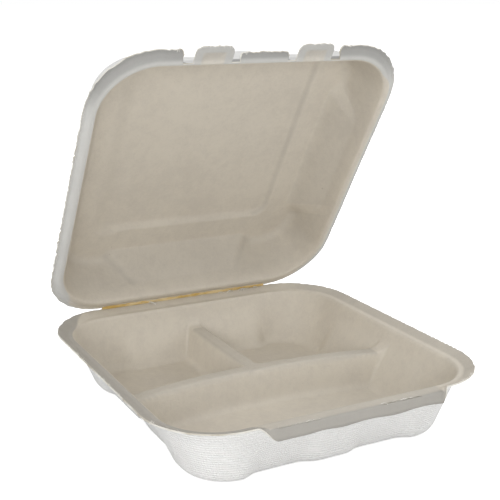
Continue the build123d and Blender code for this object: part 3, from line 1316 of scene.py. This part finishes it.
    def place(self, points: np.ndarray) -> np.ndarray:
        """The lid swung open about the hinge.

        Args:
            points: Pan points (x, y, depth).

        Returns:
            The points in the model's frame.
        """
        cos, sin = math.cos(math.radians(self.opened)), math.sin(math.radians(self.opened))
        x, y, depth = points.T
        y, z = y - self.hinge_y, self.ledge_z + depth - self.hinge_z
        swung_y = self.hinge_y - STANCE + y * cos + z * sin
        return np.stack([x, swung_y, self.hinge_z - y * sin + z * cos], 1)


class Sock:
    """A node's output that takes part in arithmetic."""

    def __init__(self, tree: "NodeTree", socket: bpy.types.NodeSocket) -> None:
        """Wraps a socket of a tree."""
        self.tree = tree
        self.socket = socket

    def output(self, name: Union[str, int]) -> "Sock":
        """Another output of the same node."""
        return Sock(self.tree, self.socket.node.outputs[name])

    def _math(self, operation: str, *values: Union["Sock", Number]) -> "Sock":
        """One Math node on these values."""
        return self.tree.node(
            "ShaderNodeMath", {"operation": operation}, dict(enumerate(values))
        )

    def __add__(self, other: Union["Sock", Number]) -> "Sock":
        """The sum."""
        return self._math("ADD", self, other)

    def __mul__(self, other: Union["Sock", Number]) -> "Sock":
        """The product."""
        return self._math("MULTIPLY", self, other)

    def __sub__(self, other: Union["Sock", Number]) -> "Sock":
        """The difference."""
        return self._math("SUBTRACT", self, other)

    def __rsub__(self, other: Number) -> "Sock":
        """A number less this."""
        return self._math("SUBTRACT", other, self)

    def larger(self, other: Union["Sock", Number]) -> "Sock":
        """The larger of the two."""
        return self._math("MAXIMUM", self, other)

    def sine(self) -> "Sock":
        """The sine."""
        return self._math("SINE", self)

    def step(self, low: float, high: float) -> "Sock":
        """A soft step.

        Args:
            low: Where it leaves 0.
            high: Where it comes to 1.

        Returns:
            The share.
        """
        return self.tree.node(
            "ShaderNodeMapRange",
            {"interpolation_type": "SMOOTHSTEP"},
            {"Value": self, "From Min": low, "From Max": high, "To Min": 0.0, "To Max": 1.0},
        )


class NodeTree:
    """A node tree under construction: a material's, the surroundings' or a modifier's."""

    def __init__(self, tree: bpy.types.NodeTree) -> None:
        """Starts from an emptied tree."""
        self.tree = tree
        tree.nodes.clear()

    def node(
        self,
        kind: str,
        settings: dict[str, object] | None = None,
        inputs: dict[Union[str, int], object] | None = None,
        output: Union[str, int] = 0,
    ) -> Sock:
        """Makes a node, sets it up and links it.

        Args:
            kind: The node's type.
            settings: Its settings, which are set first.
            inputs: Values or sockets, by the input's name or number.
            output: The output that is handed back.

        Returns:
            The wrapped output.
        """
        node = self.tree.nodes.new(kind)
        for key, value in (settings or {}).items():
            setattr(node, key, value)
        for key, value in (inputs or {}).items():
            if isinstance(value, Sock):
                self.tree.links.new(value.socket, node.inputs[key])
            else:
                node.inputs[key].default_value = value
        return Sock(self, node.outputs[output])

    def vector(self, operation: str, first: object, second: object) -> Sock:
        """One Vector Math node, whose second value is a number where it scales."""
        key = "Scale" if operation == "SCALE" else 1
        return self.node("ShaderNodeVectorMath", {"operation": operation}, {0: first, key: second})

    def combine(self, x: object, y: object, z: object) -> Sock:
        """A vector of three numbers."""
        return self.node("ShaderNodeCombineXYZ", {}, {"X": x, "Y": y, "Z": z})

    def end(self, kind: str, last: Sock) -> None:
        """Makes the output node and links its first input."""
        self.tree.links.new(last.socket, self.tree.nodes.new(kind).inputs[0])


class Paint(NodeTree):
    """A material under construction."""

    def __init__(self, name: str) -> None:
        """Starts an empty material of this name."""
        self.material = bpy.data.materials.new(name)
        self.material.use_nodes = True
        super().__init__(self.material.node_tree)

    def mix(self, share: object, first: object, second: object) -> Sock:
        """A colour between two colours.

        Args:
            share: The second colour's share.
            first: The first colour.
            second: The second colour.

        Returns:
            The mixed colour.
        """
        first, second = (
            (*colour, 1.0) if isinstance(colour, tuple) else colour for colour in (first, second)
        )
        settings = {"data_type": "RGBA", "clamp_factor": True}
        return self.node("ShaderNodeMix", settings, {0: share, 6: first, 7: second}, 2)

    def noise(self, where: Sock, scale: float, detail: float = 3.0, rough: float = 0.55) -> Sock:
        """Plain noise at a place.

        Args:
            where: The place.
            scale: How fine the noise is.
            detail: How many finer layers it has.
            rough: How strong they are.

        Returns:
            The noise, from 0 to 1.
        """
        inputs = {"Vector": where, "Scale": scale, "Detail": detail, "Roughness": rough}
        return self.node("ShaderNodeTexNoise", {}, inputs)

    def surface(
        self,
        colour: Union[Sock, tuple[float, ...]],
        roughness: Union[Sock, float],
        specular: float,
        height: Sock | None = None,
        relief: float = 0.0,
    ) -> bpy.types.Material:
        """Ends the material in a Principled shader.

        Args:
            colour: The base colour.
            roughness: The roughness.
            specular: The specular level.
            height: What the bump follows, if there is one.
            relief: The bump's height in metres.

        Returns:
            The finished material.
        """
        inputs = {"Base Color": colour, "Roughness": roughness, "Specular IOR Level": specular}
        if height is not None:
            bump = {"Strength": 1.0, "Distance": relief, "Height": height}
            inputs["Normal"] = self.node("ShaderNodeBump", {}, bump)
        self.end("ShaderNodeOutputMaterial", self.node("ShaderNodeBsdfPrincipled", {}, inputs))
        return self.material


@dataclass(frozen=True)
class PulpFinish:
    """Moulded cane pulp: a felt of short fibres, with the mould's wire mesh pressed in one skin."""

    name: str
    colour: Colour
    shade: Colour
    rim_colour: Colour
    # The dark grey that the painted shade mixes in.
    painted_shade_colour: Colour = (0.20, 0.195, 0.185)
    speck_colour: Colour = (0.16, 0.11, 0.06)
    mesh_shade: Colour = (0.45, 0.44, 0.42)
    roughness: float = 0.62
    relief: float = 0.00022
    mesh_depth: float = 0.0
    mesh_pitch: float = 0.0018
    specks: float = 0.5

    def material(self) -> bpy.types.Material:
        """Builds the material.

        Returns:
            The material, ready for a slot.
        """
        paint = Paint(self.name)
        where = paint.node("ShaderNodeTexCoord", output="Object")
        rim, painted_shade_and_stain = (
            paint.node("ShaderNodeAttribute", {"attribute_name": key}, output="Fac")
            for key in ("rim", "painted_shade_and_stain")
        )
        cloud = paint.noise(where, 26.0, 2.0)
        blotch = paint.noise(where, 140.0, 4.0)
        fibre = paint.noise(where, 1100.0, 5.0, 0.7)
        grain = paint.noise(where, 420.0, 3.0, 0.6)
        tone = (cloud * 0.25 + blotch * 0.25 + grain * 0.2 + fibre * 0.3).step(0.38, 0.60)
        body = paint.mix(tone, self.shade, self.colour)
        rim_dark = tuple(value * 0.95 for value in self.rim_colour)
        body = paint.mix(rim, body, paint.mix(tone, rim_dark, self.rim_colour))
        # Mixes the painted shade from the mesh's attribute into the colour.
        body = paint.mix(painted_shade_and_stain, body, self.painted_shade_colour)
        cells = {"Vector": where, "Scale": 85.0, "Randomness": 1.0}
        dot = 1 - paint.node("ShaderNodeTexVoronoi", {}, cells).step(0.035, 0.06)
        chance = paint.noise(where, 33.0, 1.0).step(0.60, 0.64)
        body = paint.mix(dot * chance * self.specks, body, self.speck_colour)
        height = fibre * 0.6 + grain * 0.8 + blotch * 0.9
        if self.mesh_depth > 0:
            sheet = paint.node("ShaderNodeUVMap", {"uv_map": "Sheet"})
            round_way = paint.node("ShaderNodeSeparateXYZ", {}, {"Vector": sheet})
            rate = 2 * math.pi / self.mesh_pitch
            wobble = (grain - 0.5) * 1.6
            lines = (round_way.output("Y") * rate + wobble).sine()
            threads = (round_way * rate + wobble).sine()
            height = height + (lines * 0.9 + threads * 0.25) * self.mesh_depth
            # Painted shade: the mesh's valleys are darkened in colour, besides the bump.
            body = paint.mix((lines * -1.0).step(0.1, 0.9) * 0.16, body, self.mesh_shade)
        roughness = (1 - tone) * 0.08 + self.roughness
        return paint.surface(body, roughness, 0.35, height, self.relief)


@dataclass(frozen=True)
class EdgeFinish:
    """The trimmed edge of the sheet: torn fibres, browner than the skins."""

    name: str = "TrimmedEdge"
    colour: Colour = (0.70, 0.68, 0.62)
    brown: Colour = (0.46, 0.42, 0.34)

    def material(self) -> bpy.types.Material:
        """Builds the material.

        Returns:
            The material, ready for a slot.
        """
        paint = Paint(self.name)
        where = paint.node("ShaderNodeTexCoord", output="Object")
        tuft = paint.noise(where, 700.0, 4.0, 0.7)
        painted_shade_and_stain = paint.noise(where, 60.0, 3.0).step(0.42, 0.66)
        return paint.surface(paint.mix(painted_shade_and_stain, self.colour, self.brown), 0.85, 0.25, tuft, 0.0004)


@dataclass(frozen=True)
class CreaseFinish:
    """The worked crease of the hinge: fibres bruised yellow-brown."""

    name: str = "HingeCrease"
    colour: Colour = (0.62, 0.42, 0.13)
    pale: Colour = (0.80, 0.65, 0.38)

    def material(self) -> bpy.types.Material:
        """Builds the material.

        Returns:
            The material, ready for a slot.
        """
        paint = Paint(self.name)
        where = paint.node("ShaderNodeTexCoord", output="Object")
        stretch = {"Vector": where, "Scale": (0.25, 1, 1)}
        stretched = paint.node("ShaderNodeMapping", {"vector_type": "POINT"}, stretch)
        fibre = paint.noise(stretched, 520.0, 4.0, 0.7)
        patch = paint.noise(where, 70.0, 2.0)
        body = paint.mix((fibre * 0.5 + patch * 0.5).step(0.4, 0.62), self.colour, self.pale)
        return paint.surface(body, 0.7, 0.3, fibre, 0.0003)


@dataclass(frozen=True)
class FilmFinish:
    """Loose fibres and thin scraps of the sheet's skin: almost white."""

    name: str = "LooseFibre"
    colour: Colour = (0.82, 0.80, 0.75)

    def material(self) -> bpy.types.Material:
        """Builds the material, ready for a slot."""
        return Paint(self.name).surface((*self.colour, 1.0), 0.55, 0.4)


class GeometryTree(NodeTree):
    """A Geometry Nodes tree under construction, with named inputs."""

    def __init__(self, name: str, inputs: dict[str, float]) -> None:
        """Starts a tree whose modifier offers these numbers as inputs.

        Args:
            name: The tree's name.
            inputs: The numbers, by name.
        """
        super().__init__(bpy.data.node_groups.new(name, "GeometryNodeTree"))
        face = self.tree.interface
        face.new_socket("Geometry", in_out="INPUT", socket_type="NodeSocketGeometry")
        self.values: dict[str, float] = {}
        for key, value in inputs.items():
            item = face.new_socket(key, in_out="INPUT", socket_type="NodeSocketFloat")
            self.values[item.identifier] = value
        face.new_socket("Geometry", in_out="OUTPUT", socket_type="NodeSocketGeometry")
        self.start = self.node("NodeGroupInput")

    def given(self, name: str) -> Sock:
        """The tree's own input of this name."""
        return self.start.output(name)

    def oval(self, half_width: object, half_height: object, points: int) -> Sock:
        """An oval curve, as a profile.

        Args:
            half_width: Half its width.
            half_height: Half its height.
            points: How many points it has.

        Returns:
            The curve.
        """
        circle = {"Resolution": points, "Radius": 1.0}
        ring = self.node("GeometryNodeCurvePrimitiveCircle", {"mode": "RADIUS"}, circle)
        shape = self.combine(half_width, half_height, 1.0)
        return self.node("GeometryNodeTransform", {}, {"Geometry": ring, "Scale": shape})

    def keep(
        self,
        geometry: Sock,
        material: bpy.types.Material,
        base: bpy.types.Object,
        name: str,
    ) -> bpy.types.Object:
        """Ends the tree, runs it on an object and keeps the result as a plain mesh.

        Args:
            geometry: What the tree has made.
            material: Its material.
            base: The object that the tree starts from, which is removed afterwards.
            name: The new piece's name.

        Returns:
            The new piece.
        """
        real = self.node("GeometryNodeRealizeInstances", {}, {0: geometry})
        done = self.node("GeometryNodeSetMaterial", {}, {"Geometry": real, "Material": material})
        self.end("NodeGroupOutput", done)
        modifier = base.modifiers.new("Nodes", "NODES")
        modifier.node_group = self.tree
        for identifier, value in self.values.items():
            modifier[identifier] = value
        bpy.context.view_layer.update()
        graph = bpy.context.evaluated_depsgraph_get()
        mesh = bpy.data.meshes.new_from_object(base.evaluated_get(graph))
        mesh.name = name
        base.modifiers.remove(modifier)
        bpy.data.objects.remove(base)
        return linked(name, mesh)


@dataclass
class HingeCrease:
    """The worked crease that joins the tray to the lid."""

    half_length: float = 68.0
    hinge_y: float = 106.48
    hinge_z: float = 42.55
    half_height: float = 1.9
    half_depth: float = 1.0
    lean: float = 28.0
    wander: float = 0.22
    film_inset: float = 2.0
    film_drop: float = 0.7
    points: int = 260

    def beside(self) -> np.ndarray:
        """A line on the tray's side of the crease, where flakes of film lie, in millimetres."""
        xs = np.linspace(-self.half_length, self.half_length, 40)
        y, z = self.hinge_y - self.film_inset, self.hinge_z - self.film_drop
        return np.stack([xs, xs * 0 + y, xs * 0 + z], 1)

    def path(self) -> bpy.types.Object:
        """The line of the hinge.

        Returns:
            The line as a plain edge mesh.
        """
        mesh = bpy.data.meshes.new("HingePath")
        xs = np.linspace(-self.half_length, self.half_length, self.points)
        dots = [(x * MM, self.hinge_y * MM, self.hinge_z * MM) for x in xs]
        mesh.from_pydata(dots, [(k, k + 1) for k in range(self.points - 1)], [])
        return linked("HingePath", mesh)

    def build(self, material: bpy.types.Material) -> bpy.types.Object:
        """Sweeps the crease along the hinge with Geometry Nodes.

        Args:
            material: The crease's material.

        Returns:
            The crease as a plain mesh.
        """
        sizes = {
            "Half Height": self.half_height * MM,
            "Half Depth": self.half_depth * MM,
            "Wander": self.wander * MM,
        }
        tree = GeometryTree("CreaseSweep", sizes)
        solid = {"noise_dimensions": "3D"}
        curve = tree.node("GeometryNodeMeshToCurve", {}, {0: tree.given("Geometry")})
        noise = tree.node("ShaderNodeTexNoise", solid, {"Scale": 160.0, "Detail": 3.0}, "Color")
        centred = tree.vector("SUBTRACT", noise, (0.5, 0.5, 0.5))
        across = tree.vector("MULTIPLY", centred, (0.0, 1.0, 1.0))
        shake = tree.vector("SCALE", across, tree.given("Wander"))
        moved = tree.node("GeometryNodeSetPosition", {}, {"Geometry": curve, "Offset": shake})
        width = tree.node("ShaderNodeTexNoise", solid, {"Scale": 75.0, "Detail": 2.0}, "Fac")
        oval = tree.oval(tree.given("Half Depth"), tree.given("Half Height"), 12)
        lean = {"Geometry": oval, "Rotation": (0.0, 0.0, math.radians(self.lean))}
        sweep = {
            "Curve": moved,
            "Profile Curve": tree.node("GeometryNodeTransform", {}, lean),
            "Scale": width * 0.9 + 0.55,
            "Fill Caps": True,
        }
        swept = tree.node("GeometryNodeCurveToMesh", {}, sweep)
        smooth = tree.node("GeometryNodeSetShadeSmooth", {}, {"Geometry": swept})
        return tree.keep(smooth, material, self.path(), "hinge_crease")


@dataclass
class Scraps:
    """Tufts of small curved strips, such as loose fibres or flakes of film, along a line."""

    name: str
    tufts: int
    length: float
    half_width: float
    half_thickness: float
    turn: float
    seed: int
    each: int = 5
    spread: float = 0.8
    bow: float = 0.35
    scales: tuple[float, float] = (0.5, 1.4)

    def places(self, line: np.ndarray) -> np.ndarray:
        """Where the strips start: a few at each tuft, at uneven places on the line.

        Args:
            line: Points along the line, in order.

        Returns:
            The starting points.
        """
        rng = np.random.default_rng(self.seed)
        centres = rng.uniform(0, len(line) - 1, self.tufts)
        spots = []
        for centre in centres:
            for _ in range(rng.integers(1, self.each + 1)):
                along = float(np.clip(centre + rng.normal(0, self.spread), 0, len(line) - 1.001))
                at = int(along)
                spots.append(line[at] + (line[at + 1] - line[at]) * (along - at))
        return np.array(spots)

    def build(self, line: np.ndarray, material: bpy.types.Material) -> bpy.types.Object:
        """Scatters the strips with Geometry Nodes.

        Args:
            line: Points along the line, in order, in millimetres.
            material: The strips' material.

        Returns:
            The strips as one plain mesh.
        """
        mesh = bpy.data.meshes.new(self.name)
        mesh.from_pydata((self.places(line) * MM).tolist(), [], [])
        sizes = {"Length": self.length * MM, "Width": self.half_width * MM, "Turn": self.turn}
        tree = GeometryTree(self.name, sizes)
        span = tree.combine(tree.given("Length"), 0.0, 0.0)
        rise = tree.combine(0.0, 0.0, tree.given("Length"))
        bow = {
            "Resolution": 6,
            "Start": tree.vector("SCALE", span, -0.5),
            "Middle": tree.vector("SCALE", rise, self.bow),
            "End": tree.vector("SCALE", span, 0.5),
        }
        sweep = {
            "Curve": tree.node("GeometryNodeCurveQuadraticBezier", {}, bow),
            "Profile Curve": tree.oval(tree.given("Width"), self.half_thickness * MM, 6),
            "Fill Caps": True,
        }
        random = "FunctionNodeRandomValue"
        ways = {0: (-1.0, -1.0, -1.0), 1: (1.0, 1.0, 1.0), "Seed": self.seed}
        way = tree.node(random, {"data_type": "FLOAT_VECTOR"}, ways)
        scales = {2: self.scales[0], 3: self.scales[1], "Seed": self.seed + 1}
        scattered = {
            "Points": tree.given("Geometry"),
            "Instance": tree.node("GeometryNodeCurveToMesh", {}, sweep),
            "Rotation": tree.vector("SCALE", way, tree.given("Turn")),
            "Scale": tree.node(random, {"data_type": "FLOAT"}, scales, 1),
        }
        many = tree.node("GeometryNodeInstanceOnPoints", {}, scattered)
        return tree.keep(many, material, linked(self.name, mesh), self.name)


@dataclass(frozen=True)
class Lamp:
    """A soft square lamp: where it hangs and how large it is, in metres, and its power in watts."""

    name: str
    place: tuple[float, float, float]
    size: float
    power: float
    aim: tuple[float, float, float] = (0.0, 0.0, 0.08)

    def hang(self) -> None:
        """Hangs the lamp in the scene, turned to its aim."""
        data = bpy.data.lights.new(self.name, "AREA")
        data.energy = self.power
        data.size = self.size
        lamp = linked(self.name, data)
        lamp.location = self.place
        way = Vector(self.aim) - Vector(self.place)
        lamp.rotation_euler = way.to_track_quat("-Z", "Y").to_euler()


@dataclass
class Studio:
    """The camera, the soft light and the pale floor."""

    eye: tuple[float, float, float] = (-312.20775, -560.31797, 282.18020)
    right: tuple[float, float, float] = (0.87736863, -0.47957753, 0.01515515)
    up: tuple[float, float, float] = (0.11428266, 0.23954344, 0.96413610)
    focal_pixels: float = 1002.565
    frame_pixels: float = 500.0
    sensor: float = 36.0
    sky: float = 0.98
    sky_height: float = 0.9
    floor_half: float = 8.0
    floor_grey: float = 0.86
    floor_lift: float = 0.62
    lamps: tuple[Lamp, ...] = (
        Lamp("FrontLamp", (-0.7, -1.7, 0.35), 0.8, 14.2),
        Lamp("LeftLamp", (-1.6, -0.4, 1.1), 0.8, 8.6),
        Lamp("RightLamp", (1.6, -0.3, 0.8), 0.8, 8.4),
    )

    def camera(self) -> None:
        """Sets the camera where the photograph was taken from."""
        right, up = Vector(self.right).normalized(), Vector(self.up).normalized()
        back = right.cross(up).normalized()
        turn = Matrix((right, up, back)).transposed().to_4x4()
        data = bpy.data.cameras.new("Camera")
        data.sensor_width = self.sensor
        data.lens = self.focal_pixels * self.sensor / self.frame_pixels
        data.clip_start, data.clip_end = 0.01, 100.0
        camera = linked("Camera", data)
        camera.matrix_world = Matrix.Translation(Vector(self.eye) * MM) @ turn
        bpy.context.scene.camera = camera

    def floor(self) -> None:
        """Lays the pale floor, which shows white and keeps the container's shadow."""
        mesh = bpy.data.meshes.new("Floor")
        far, grey = self.floor_half, self.floor_grey
        corners = [(-far, -far, 0), (far, -far, 0), (far, far, 0), (-far, far, 0)]
        mesh.from_pydata(corners, [], [(0, 1, 2, 3)])
        paint = Paint("PaleFloor")
        seen = paint.node("ShaderNodeLightPath", output="Is Camera Ray")
        matt = paint.node("ShaderNodeBsdfDiffuse", {}, {"Color": (grey, grey, grey, 1.0)})
        light = {"Color": (1.0, 1.0, 1.0, 1.0), "Strength": self.floor_lift}
        glow = paint.node("ShaderNodeEmission", {}, light)
        both = paint.node("ShaderNodeAddShader", {}, {0: matt, 1: glow})
        shown = paint.node("ShaderNodeMixShader", {}, {0: seen, 1: matt, 2: both})
        paint.end("ShaderNodeOutputMaterial", shown)
        mesh.materials.append(paint.material)
        floor = linked("Floor", mesh)

    def light(self) -> None:
        """Hangs the soft lamps and the even surroundings."""
        world = bpy.data.worlds.new("Studio")
        bpy.context.scene.world = world
        world.use_nodes = True
        tree = NodeTree(world.node_tree)
        way = tree.node("ShaderNodeTexCoord", output="Generated")
        height = tree.node("ShaderNodeSeparateXYZ", {}, {0: way}, "Z")
        rise = {"Value": height, "From Min": 0.0, "From Max": self.sky_height}
        level = tree.node("ShaderNodeMapRange", {}, {**rise, "To Min": 0.0, "To Max": self.sky})
        ray = tree.node("ShaderNodeLightPath", output="Is Camera Ray")
        seen = ray.larger(ray.output("Is Glossy Ray")).larger(ray.output("Is Transmission Ray"))
        strength = tree.node("ShaderNodeMix", {}, {0: seen, 2: level, 3: 1.0})
        white = {"Color": (1.0, 1.0, 1.0, 1.0), "Strength": strength}
        tree.end("ShaderNodeOutputWorld", tree.node("ShaderNodeBackground", {}, white))
        for lamp in self.lamps:
            lamp.hang()


@dataclass
class Clamshell:
    """The whole container: its two moulded halves and the crease between them."""

    tray: Tray = field(default_factory=Tray)
    lid: Lid = field(default_factory=Lid)
    crease: HingeCrease = field(default_factory=HingeCrease)
    tray_fibres: Scraps = field(
        default_factory=lambda: Scraps("tray_fibres", 26, 2.2, 0.07, 0.05, turn=3.1, seed=5)
    )
    lid_fibres: Scraps = field(
        default_factory=lambda: Scraps("lid_fibres", 34, 2.0, 0.07, 0.05, turn=3.1, seed=6)
    )
    flakes: Scraps = field(
        default_factory=lambda: Scraps(
            "crease_film", 7, 5.0, 0.42, 0.04, turn=0.6, seed=9, each=3, spread=0.5
        )
    )
    slit_film: Scraps = field(
        default_factory=lambda: Scraps(
            "slit_film", 7, 3.4, 0.16, 0.06, turn=0.25, seed=14, each=3, spread=0.6
        )
    )
    fibre_range: tuple[float, float] = (-0.99, 0.6)
    lid_fibre_range: tuple[float, float] = (-1.0, 0.6)
    # The tray's dark grey rim colour is painted shade where it lies on the left flange.
    tray_inside: PulpFinish = PulpFinish(
        "TrayInside", (0.63, 0.583, 0.50), (0.575, 0.53, 0.46), (0.41, 0.388, 0.35)
    )
    lid_inside: PulpFinish = PulpFinish(
        "LidInside", (0.615, 0.567, 0.485), (0.555, 0.51, 0.44), (0.56, 0.555, 0.53)
    )
    outside: PulpFinish = PulpFinish(
        "PulpOutside",
        (0.85, 0.846, 0.832),
        (0.815, 0.81, 0.793),
        (0.83, 0.826, 0.812),
        roughness=0.72,
        mesh_depth=0.9,
    )

    def sheets(self) -> None:
        """Builds the two halves, each with its skins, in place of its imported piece."""
        outer_skin, trimmed = self.outside.material(), EdgeFinish().material()
        for pan, name, node, body, finish in (
            (self.tray, "tray_sheet", "base_tray", "tray", self.tray_inside),
            (self.lid, "lid_sheet", "lid", "lid", self.lid_inside),
        ):
            piece = pan.build().to_object(name)
            for skin in (finish.material(), outer_skin, trimmed):
                piece.data.materials.append(skin)
            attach(piece, body)
            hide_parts(node)
            LOG.info("%s: %d faces", name, len(piece.data.polygons))

    def loose_scraps(self) -> None:
        """Scatters the loose fibres and the scraps of film, each on its body."""
        film = FilmFinish().material()
        for scraps, line, body in (
            (self.tray_fibres, self.tray.trimmed_line(*self.fibre_range), "tray"),
            (self.lid_fibres, self.lid.trimmed_line(*self.lid_fibre_range), "lid"),
            (self.flakes, self.crease.beside(), "tray"),
            (self.slit_film, self.tray.fold_line(), "tray"),
        ):
            piece = scraps.build(line, film)
            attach(piece, body)
            LOG.info("%s: %d faces", scraps.name, len(piece.data.polygons))

    def dress(self) -> None:
        """Builds every piece and gives it its finish and its place in the frame; the halves and the
        scraps also get their body.
        """
        self.sheets()
        self.loose_scraps()
        strip = self.crease.build(CreaseFinish().material())
        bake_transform(strip)
        LOG.info("hinge_crease: %d faces", len(strip.data.polygons))


def main() -> None:
    """Builds the container and its studio, in order."""
    logging.basicConfig(level=logging.INFO)
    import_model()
    bpy.context.scene.view_settings.view_transform = "Standard"
    studio = Studio()
    studio.camera()
    studio.light()
    studio.floor()
    Clamshell().dress()


if __name__ == "__main__":
    main()
